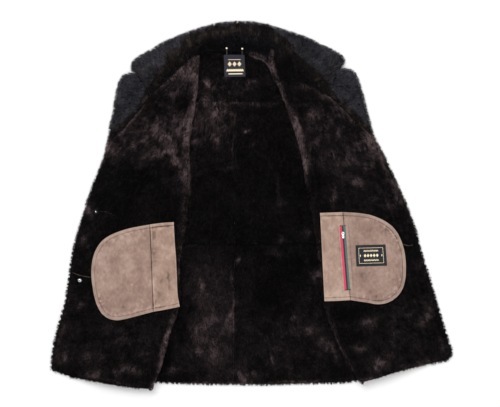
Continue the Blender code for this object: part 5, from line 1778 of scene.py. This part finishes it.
def sew(name, sheets, middles, runs, finish, slot, length=STITCH, width=THREAD, sunk=0.1):
    """Stitches along a line on sheets: each a thread's flat bead that dips in at its ends."""
    path = BEAD_AT[:, None] * (length, 0, 0)
    path[:, 2] = BEAD_HIGH
    points, faces = tube(path, BEAD_WIDE * width / 2, 6)
    centres = np.c_[middles, resting(sheets, middles) - sunk + width / 2 * 0.6]
    points, faces = copies(points, faces, centres, np.c_[runs, np.zeros(len(runs))])
    return new_piece(name, points, faces, [finish], smooth=60)


def make_pocket(side, front_top):
    """The mouth strip and the round bag of an inside pocket, on the front's fur, and the
    stitches that hold them. Gives their tops."""
    lines = POCKETS[side]
    heights = height_map(front_top)
    tops = []
    for part, outer, wide, finish in POCKET_PIECES:
        edges = (lines["seam"], lines[outer], lines[f"{part}_top"], lines[f"{part}_foot"])
        grid = line_patch(*edges, near_ends(wide), near_ends(POCKET_LONG))
        grid = pull_in(grid, SEAM / 2, SEAM / 2, SEAM / 2, SEAM / 2)
        relief, tone = worked_suede(side, grid)
        clear = SIGN[side] * across_at(grid[..., 1], LINES[side]["fold"]) + CLEAR_OF_FOLD
        level = np.dstack([SIGN[side] * np.maximum(SIGN[side] * grid[..., 0], clear), grid[..., 1]])
        base = height_at(heights, level) + (PELT - UNDERFUR) + LAYER_GAP + relief
        top = base + SUEDE_RIM + (SUEDE - SUEDE_RIM) * rounded(grid, *[SUEDE_ROUND] * 4)
        name = f"pocket_{side}_{part}"
        piece, sheet = plate(f"{name}_suede", grid, top, base, finish)
        give(piece, "tone", np.tile(tone.ravel(), 2))
        declare(sheet, [name])
        tops.append(sheet)
    sew(f"pocket_{side}_stitches", tops, *stitch_line(side), THREAD_TAUPE, "suede")
    return tops


# ---- Zip ----


# Stations along a tooth and along a tack's stitch, with their radius at each.
TOOTH = ((-1.1, -0.9, 0.1, 0.55, 0.95, 1.15), (0.34, 0.42, 0.42, 0.55, 0.55, 0.4))
TACK = ((-1, -0.8, 0, 0.8, 1), (0.2, 0.36, 0.4, 0.36, 0.2))
# Places across the chain's core with the height of its top at each, and how thick it is.
CORE = ((-1.75, -1.6, 0, 1.6, 1.75), (0.45, 0.7, 0.7, 0.7, 0.45))
CORE_THICK = 0.4
# The chain's stops: how far down the zip, how far across it, and their half length.
STOPS = ((1.4, -1.5, 1.3), (1.4, 1.5, 1.3), (ZIP_LENGTH - 1.6, 0.0, 2.0))
TACK_SPOTS = (-6.4, 8.4, 17)  # from where to where across the zip, and how many


def zip_path(tops):
    """How far down the zip points on its middle are, 2 mm apart, the points themselves,
    and the level that its tapes lie at: on the suede below, as high as brings its teeth
    into the slider."""
    reach = np.linspace(0, ZIP_LENGTH, 80)
    middle = ZIP_TOP + reach[:, None] * ZIP_DOWN
    ground = np.max([resting(tops, middle + ZIP_ACROSS * by) for by in (-4, 0, 4)], axis=0)
    ground = blurred(ground[:, None], 12)[:, 0]
    slider_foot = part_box("zip_slider")[0][2] / MM
    lift = slider_foot + 0.3 - CHAIN_HIGH - np.interp(SLIDER_DOWN, reach, ground)
    return reach, middle, ground + lift


def make_tape(name, node, finish, path, inner, outer):
    """One woven tape of the zip: a thin strip, beaded beside the teeth and a little
    lower at its sewn edge."""
    _, middle, level = path
    share = np.r_[0, 0.03, 0.08, 0.16, 0.3, 0.5, 0.7, 0.9, 0.97, 1]
    offset = inner + (outer - inner) * share
    grid = middle[:, None] + ZIP_ACROSS * offset[None, :, None]
    crown = 0.25 * bell(share, 0.15) - 0.35 * share**2
    top = level[:, None] + 0.4 + TAPE + crown[None] + 0.06 * noise(grid, 4, 71)
    thin = TAPE * np.sqrt(1 - (1 - np.minimum(1, 12 * np.minimum(share, 1 - share) + 0.05)) ** 2)
    piece, _ = plate(name, grid, top, top - np.maximum(thin, 0.25)[None], finish)
    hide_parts(node)


def make_teeth(path):
    """The zip's black moulded teeth, each a bar with a fatter head, in two rows that mesh
    below the slider and stand apart above it, on a black core, with stops at the ends."""
    reach, middle, level = path
    points, faces = rod(*TOOTH)

    def placed(at, by, pointing):
        spot = between(at, reach, middle) + ZIP_ACROSS * by
        centres = np.c_[spot, np.interp(at, reach, level) + 1.05]
        return copies(points, faces, centres, np.tile((*(ZIP_ACROSS * pointing), 0), (len(at), 1)))

    parts = []
    for pointing, first in ((1, 0.0), (-1, TOOTH_STEP / 2)):
        meshed = np.arange(SLIDER_DOWN + 2 + first, ZIP_LENGTH - 3.5, TOOTH_STEP)
        parted = np.arange(3.5 + first, SLIDER_DOWN - 5, TOOTH_STEP)
        parts += [placed(meshed, -0.62 * pointing, pointing), placed(parted, -1.35 * pointing, pointing)]
    core_by, core_high = np.array(CORE)
    grid = middle[:, None] + ZIP_ACROSS * core_by[None, :, None]
    high = level[:, None] + core_high[None]
    parts.append(wall(np.dstack([grid, high]), np.dstack([grid, high - CORE_THICK]))[:2])
    for at, by, wide in STOPS:
        spot = np.r_[between(at, reach, middle) + ZIP_ACROSS * by, np.interp(at, reach, level) + 1.0]
        run = np.r_[ZIP_ACROSS if by == 0 else ZIP_DOWN, 0] * wide
        stop = spot + np.array([-1, -0.8, 0.8, 1])[:, None] * run
        parts.append(tube(stop, (0.5, 0.75, 0.75, 0.5), 6))
    points, faces = joined(parts)
    piece = new_piece("zip_teeth", points, faces, [TEETH_BLACK], smooth=40)
    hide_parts("zip_chain")


def make_zip(tops):
    """The pocket's zip, with bar tacks across its ends. Its slider and pull tab are the
    part's own, plated."""
    path = zip_path(tops)
    inner, outer = CHAIN_WIDTH / 2 - 0.2, CHAIN_WIDTH / 2 + TAPE_WIDTH
    make_tape("zip_red_tape", "zip_tape_red", TAPE_RED, path, -inner, -outer)
    make_tape("zip_green_tape", "zip_tape_green", TAPE_GREEN, path, inner, outer)
    make_teeth(path)
    _, middle, level = path
    stitch = rod(*TACK)
    tacks = (("zip_top_tack", 0, -1.0, THREAD_TAUPE), ("zip_foot_tack", -1, 1.0, THREAD_DARK))
    for name, end, beyond, finish in tacks:
        spots = middle[end] + ZIP_DOWN * beyond + ZIP_ACROSS * np.linspace(*TACK_SPOTS)[:, None]
        centres = np.c_[spots, np.full(len(spots), level[end] + 1.5)]
        points, faces = copies(*stitch, centres, np.tile((*ZIP_DOWN, 0.0), (len(spots), 1)))
        new_piece(name, points, faces, [finish], smooth=60)


def make_pull_shade():
    """A dark plate across the middle of the pull tab's two faces, painted shade for a dark gap between its
    bright ends: a low plate on each, sunk in the metal, whose rim is flush with it. The pull leans down
    towards the chain."""
    across = np.r_[ZIP_ACROSS, 0]
    lying = np.r_[ZIP_DOWN * math.cos(PULL_TILT), -math.sin(PULL_TILT)]
    raised = np.r_[ZIP_DOWN * math.sin(PULL_TILT), math.cos(PULL_TILT)]
    pin = np.r_[ZIP_TOP + ZIP_DOWN * SLIDER_DOWN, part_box("zip_pull")[1][2] / MM - PULL_HIGH]
    shares = np.array([-1, -0.9, -0.3, 0.3, 0.9, 1])
    u, v = (share[..., None] for share in np.meshgrid(shares, shares))
    middle, half_length, half_width = PULL_SHADE
    grid = pin + (middle + v * half_length) * lying + u * half_width * across
    proud = PULL_HALF_THICK + 0.1 * ((np.abs(u) < 1) & (np.abs(v) < 1)) - 0.02
    parts = [wall(grid + side * proud * raised, grid + side * 0.3 * raised)[:2] for side in (1, -1)]
    points, faces = joined(parts)
    new_piece("pull_painted_shade", points, faces, [GUNMETAL], body="pull_tab", smooth=40)


def refinish(material, *nodes):
    """Gives the part's own solids a finish."""
    for node in nodes:
        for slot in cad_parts[node].material_slots:
            slot.material = material


# ---- Labels, hanger loop and bound slits ----


def on_label(corners, at):
    """Plan points at fractions across and down a label, whose corners go round from its
    top left."""
    a, b, c, d = np.array(corners, float)
    u, v = at[..., :1], at[..., 1:2]
    return (a * (1 - u) + b * u) * (1 - v) + (d * (1 - u) + c * u) * v


FOIL_PROUD = 0.16  # above a label's top
FOIL_DEEP = 0.3
LABEL_SEWN = 0.035  # of a label's size, from its edge in to its stitches
LABEL_STEPS = (6, 0.8, 2.2)  # its grid's finer steps: how far in, how fine, and the rest
LABEL_STITCH_STEP = 3.0
LABEL_STITCH = {"length": 2.1, "width": 0.45, "sunk": 0.05}


def laid_strip(corners, path, width, high):
    """A thin raised strip of foil along a path of fractions on a label, whose width may
    change along it. high gives the label's top at plan points."""
    plan = on_label(corners, np.asarray(path, float))
    half = np.broadcast_to(np.asarray(width, float), len(plan))[:, None, None] / 2
    grid = plan[:, None] + left_of(plan)[:, None] * half * np.linspace(-1, 1, 7)[None, :, None]
    top = high(grid) + FOIL_PROUD
    return wall(np.dstack([grid, top]), np.dstack([grid, top - FOIL_DEEP]))[:2]


def straight(start, end):
    """Points along a straight bar."""
    return np.linspace(start, end, 14)


def zigzag(left, right, middle, swing, turns):
    """A row of chevrons: points between two sides, up and down in turn."""
    x = np.linspace(left, right, 2 * turns + 1)
    y = middle + swing * np.where(np.arange(2 * turns + 1) % 2, -1, 1)
    fine = np.linspace(left, right, 8 * turns + 1)
    return np.c_[fine, np.interp(fine, x, y)]


def lozenge(corners, middle, wide, tall, high):
    """A solid lozenge: a level strip whose width rises to its middle and falls again."""
    share = np.linspace(-1, 1, 13)
    path = np.c_[middle[0] + share * wide / 2, np.full(13, middle[1])]
    return laid_strip(corners, path, np.maximum(tall * (1 - np.abs(share)), 0.05), high)


def make_label(name, corners, lie, motifs, finish, round_by):
    """A leather label: a thin plate on what lies below, its edges and corners rounded,
    stitched round, with pale foil motifs pressed on it."""
    size = math.dist(corners[0], corners[1]), math.dist(corners[1], corners[2])
    at = np.dstack(np.meshgrid(*(near_ends(span, *LABEL_STEPS) for span in size)))
    x, y = (at[..., k] * 2 - 1 for k in (0, 1))
    side = round_by / min(size) * 2
    reach = np.hypot(np.maximum(np.abs(x) - (1 - side), 0), np.maximum(np.abs(y) - (1 - side), 0)) / side
    shrink = np.where(reach > 1, 1 - side + side / np.maximum(reach, 1), 1.0)
    at = (np.stack([x, y], -1) * shrink[..., None] + 1) / 2
    grid = on_label(corners, at)
    base = lie(grid)
    top = base + LABEL_RIM + (LABEL - LABEL_RIM) * rounded(grid, *[LABEL_ROUND] * 4)
    piece, sheet = plate(f"{name}_leather", grid, top, base, finish)
    near, far = LABEL_SEWN, 1 - LABEL_SEWN
    edge = np.array([(near, near), (far, near), (far, far), (near, far)])
    spots, runs = [], []
    for a, b in zip(edge, np.roll(edge, -1, axis=0)):
        start, end = on_label(corners, np.array([a, b]))
        count = int(np.linalg.norm(end - start) / LABEL_STITCH_STEP)
        spots.append(start + (np.arange(count) + 0.5)[:, None] / count * (end - start))
        runs.append(np.tile(end - start, (count, 1)))
    lines = np.concatenate(spots), np.concatenate(runs)
    stitches = sew(f"{name}_stitches", [sheet], *lines, THREAD_DARK, "label_leather", **LABEL_STITCH)
    points, faces = joined(motifs(lambda plan: lie(plan) + LABEL))
    foil = new_piece(f"{name}_foil", points, faces, [FOIL_GOLD], smooth=40)
    declare(sheet, [name])


def neck_lie(plan):
    """Underside of the neck label: on the yoke's pile, and up over the hanger loop."""
    low = NECK_LABEL_LOW
    for high, start, over in NECK_LABEL_RISES:
        low = low + high * ease((plan[..., 1] - start) / over)
    return low


def neck_motifs(high):
    """Three lozenges in a row between a bar above them and chevrons and a bar below."""
    parts = [laid_strip(NECK_LABEL, straight((0.2, 0.22), (0.8, 0.22)), 1.2, high)]
    parts += [lozenge(NECK_LABEL, (x, 0.42), 0.2, 12.5, high) for x in (0.27, 0.5, 0.73)]
    parts.append(laid_strip(NECK_LABEL, zigzag(0.12, 0.9, 0.7, 0.05, 9), 2.2, high))
    parts.append(laid_strip(NECK_LABEL, straight((0.2, 0.86), (0.86, 0.86)), 2.0, high))
    return parts


def pocket_motifs(high):
    """A thin frame, with a lozenge at the middle of each side, round a row of five
    lozenges between two rows of chevrons."""
    left, right, top, foot = 0.1, 0.9, 0.14, 0.86
    corners = ((left, top), (right, top), (right, foot), (left, foot), (left, top))
    parts = [laid_strip(POCKET_LABEL, straight(a, b), 0.8, high) for a, b in zip(corners, corners[1:])]
    parts += [lozenge(POCKET_LABEL, (x, 0.5), 0.035, 7, high) for x in (0.145, 0.855)]
    parts += [lozenge(POCKET_LABEL, (x, 0.5), 0.09, 9, high) for x in (0.3, 0.4, 0.5, 0.6, 0.7)]
    parts += [laid_strip(POCKET_LABEL, zigzag(0.26, 0.74, y, 0.035, 9), 1.3, high) for y in (0.28, 0.72)]
    return parts


def pocket_lie(bag_top, plan):
    """Underside of the pocket label: on the bag's suede, smoothed."""
    return height_at(height_map(bag_top), plan) + 0.3


def make_loop():
    """The hanger loop: a cord of two plies from one rivet, down under the neck label and
    back up to the other. Each ply is a lobe of the tube's section, which turns along it."""
    left, right = (np.array(rivet, float) for rivet in RIVETS)
    shape = along(LOOP_PATH, np.linspace(0, 1, 121))
    plan = left + (right - left) * shape[:, :1] - (0, LOOP_DROP) * shape[:, 1:]
    start, over = LOOP_RISES
    rise = np.clip((plan[:, 1] - start) / over, 0, 1) ** 1.6
    path = np.c_[plan, LOOP_LOW + LOOP_RISE * rise]
    reach = reach_along(path)
    angles = np.linspace(0, 2 * np.pi, CORD_SIDES, endpoint=False)
    lobes = 0.8 + 0.2 * np.abs(np.cos(angles[None] - math.pi * reach[:, None] / CORD_LAY))
    points, faces = tube(path, LOOP_RADIUS * lobes, CORD_SIDES)
    piece = new_piece("hanger_loop_cord", points, faces, [CORD_DARK], smooth=70)
    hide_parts("hanger_loop")


def lathe(centre, profile):
    """A turned shape: rings of points about an upright axis, at each radius and height of
    a profile that starts and ends on the axis."""
    radius, height = np.maximum(np.array(profile, float), (1e-3, 0)).T
    angles = np.linspace(0, 2 * np.pi, TURNED_SIDES, endpoint=False)
    x, y = radius[:, None] * np.cos(angles), radius[:, None] * np.sin(angles)
    points = np.stack([x, y, np.broadcast_to(height[:, None], x.shape)], -1).reshape(-1, 3) + centre
    return points, outwards(points, ring_faces(len(points), TURNED_SIDES))


def make_turned(node, centre, profile, bright, finishes):
    """A turned fitting on a node's foot, with a brighter band between two of its
    profile's points."""
    points, faces = lathe((*centre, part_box(node)[0][2] / MM), profile)
    ring = np.arange(len(profile) - 1)
    kind = np.repeat((ring >= bright[0]) & (ring < bright[1]), TURNED_SIDES).astype(int)
    piece = new_piece(f"{node}_cap", points, faces, finishes, kind, smooth=40)
    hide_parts(node)


def make_slits(side, front_top):
    """Bound slits in a front: two thin rolled lips of leather along each."""
    parts = []
    heights = height_map(front_top)
    for slit, stands in SLITS[side]:
        middle = along(slit, np.linspace(0, 1, LIP_POINTS))
        across = left_of(middle)
        ends = np.sqrt(np.clip(1 - np.linspace(-1, 1, LIP_POINTS) ** 6, 0.02, 1))
        high = height_at(heights, middle) + stands
        for by in (-1, 1):
            lip = middle + across * by * LIP_RADIUS * ends[:, None]
            parts.append(tube(np.c_[lip, high + 0.4 * noise(lip, 6, 81)], LIP_RADIUS * ends, 8))
    points, faces = joined(parts)
    new_piece(f"front_{side}_slit_lips", points, faces, [LIP_LEATHER], smooth=60)


# ---- The coat ----

make_back()
for number, side_name in enumerate(SIDES):
    make_sleeve(side_name)
    front = make_front(side_name, 201 + number)
    make_collar(side_name, 301 + number)
    make_lapel(side_name, 401 + number)
    pocket_tops = make_pocket(side_name, front)
    make_slits(side_name, front)
make_zip(pocket_tops)
make_label("neck_label", NECK_LABEL, neck_lie, neck_motifs, LABEL_SLATE, 3.0)
make_label(
    "pocket_label", POCKET_LABEL, lambda plan: pocket_lie(pocket_tops[1], plan),
    pocket_motifs, LABEL_DARK, 1.0,
)
make_loop()
for number, (stud, rivet_at, bright) in enumerate(zip(STUDS, RIVETS, STUD_BRIGHT), start=1):
    make_turned(f"stud_{number}", stud, STUD_TURNED, bright, [GUNMETAL, CHROME])
    make_turned(f"rivet_{number}", rivet_at, RIVET_TURNED, RIVET_BRIGHT, [BRASS_DULL, BRASS])
refinish(CHROME, "zip_slider", "zip_pull")
make_pull_shade()

# ---- Floor, light and camera ----

CAMERA_AT = (-0.00375, 0.00625, 30.0)
VIEW_WIDTH = 1.25  # metres of floor across the picture
FLOOR_HALF = 30.0
SKY = 0.62
KEY_LIGHT = ((-0.9, 1.0, 3.2), 2.2, 62)  # where, how wide and how strong
FILL_LIGHT = ((1.2, -0.9, 3.0), 2.4, 29)


def make_floor():
    """A pale floor."""
    finish = Finish("floor_pale", (0.9, 0.9, 0.9), 0.9, specular_ior_level=0.1)
    finish.colour(finish.mix((0.89, 0.89, 0.89), (0.91, 0.91, 0.91), finish.noise(6)))
    mesh = bpy.data.meshes.new("floor")
    corners = [(x * FLOOR_HALF, y * FLOOR_HALF, 0) for x, y in ((-1, -1), (1, -1), (1, 1), (-1, 1))]
    mesh.from_pydata(corners, [], [(0, 1, 2, 3)])
    mesh.materials.append(finish.material)
    floor = bpy.data.objects.new("floor", mesh)
    bpy.context.scene.collection.objects.link(floor)


def area_light(name, at, size, power):
    """A soft square light that faces the middle of the coat."""
    lamp = bpy.data.lights.new(name, "AREA")
    lamp.shape = "SQUARE"
    lamp.size = size
    lamp.energy = power
    piece = bpy.data.objects.new(name, lamp)
    piece.location = at
    piece.rotation_euler = (-Vector(at)).to_track_quat("-Z", "Y").to_euler()
    bpy.context.scene.collection.objects.link(piece)


def make_light():
    """An even white sky, with a key light from the top left and a weaker fill light."""
    world = bpy.data.worlds.new("studio")
    world.use_nodes = True
    sky = world.node_tree.nodes["Background"]
    sky.inputs["Color"].default_value = (1, 1, 1, 1)
    sky.inputs["Strength"].default_value = SKY
    bpy.context.scene.world = world
    area_light("key_light", *KEY_LIGHT)
    area_light("fill_light", *FILL_LIGHT)


def make_camera():
    """A camera straight above, with the collar at the top of the picture."""
    lens = bpy.data.cameras.new("camera")
    lens.sensor_width = 36.0
    lens.lens = lens.sensor_width * CAMERA_AT[2] / VIEW_WIDTH
    camera = bpy.data.objects.new("camera", lens)
    camera.location = CAMERA_AT
    bpy.context.scene.collection.objects.link(camera)
    bpy.context.scene.camera = camera


make_floor()
make_light()
make_camera()
bpy.context.scene.view_settings.view_transform = "Standard"
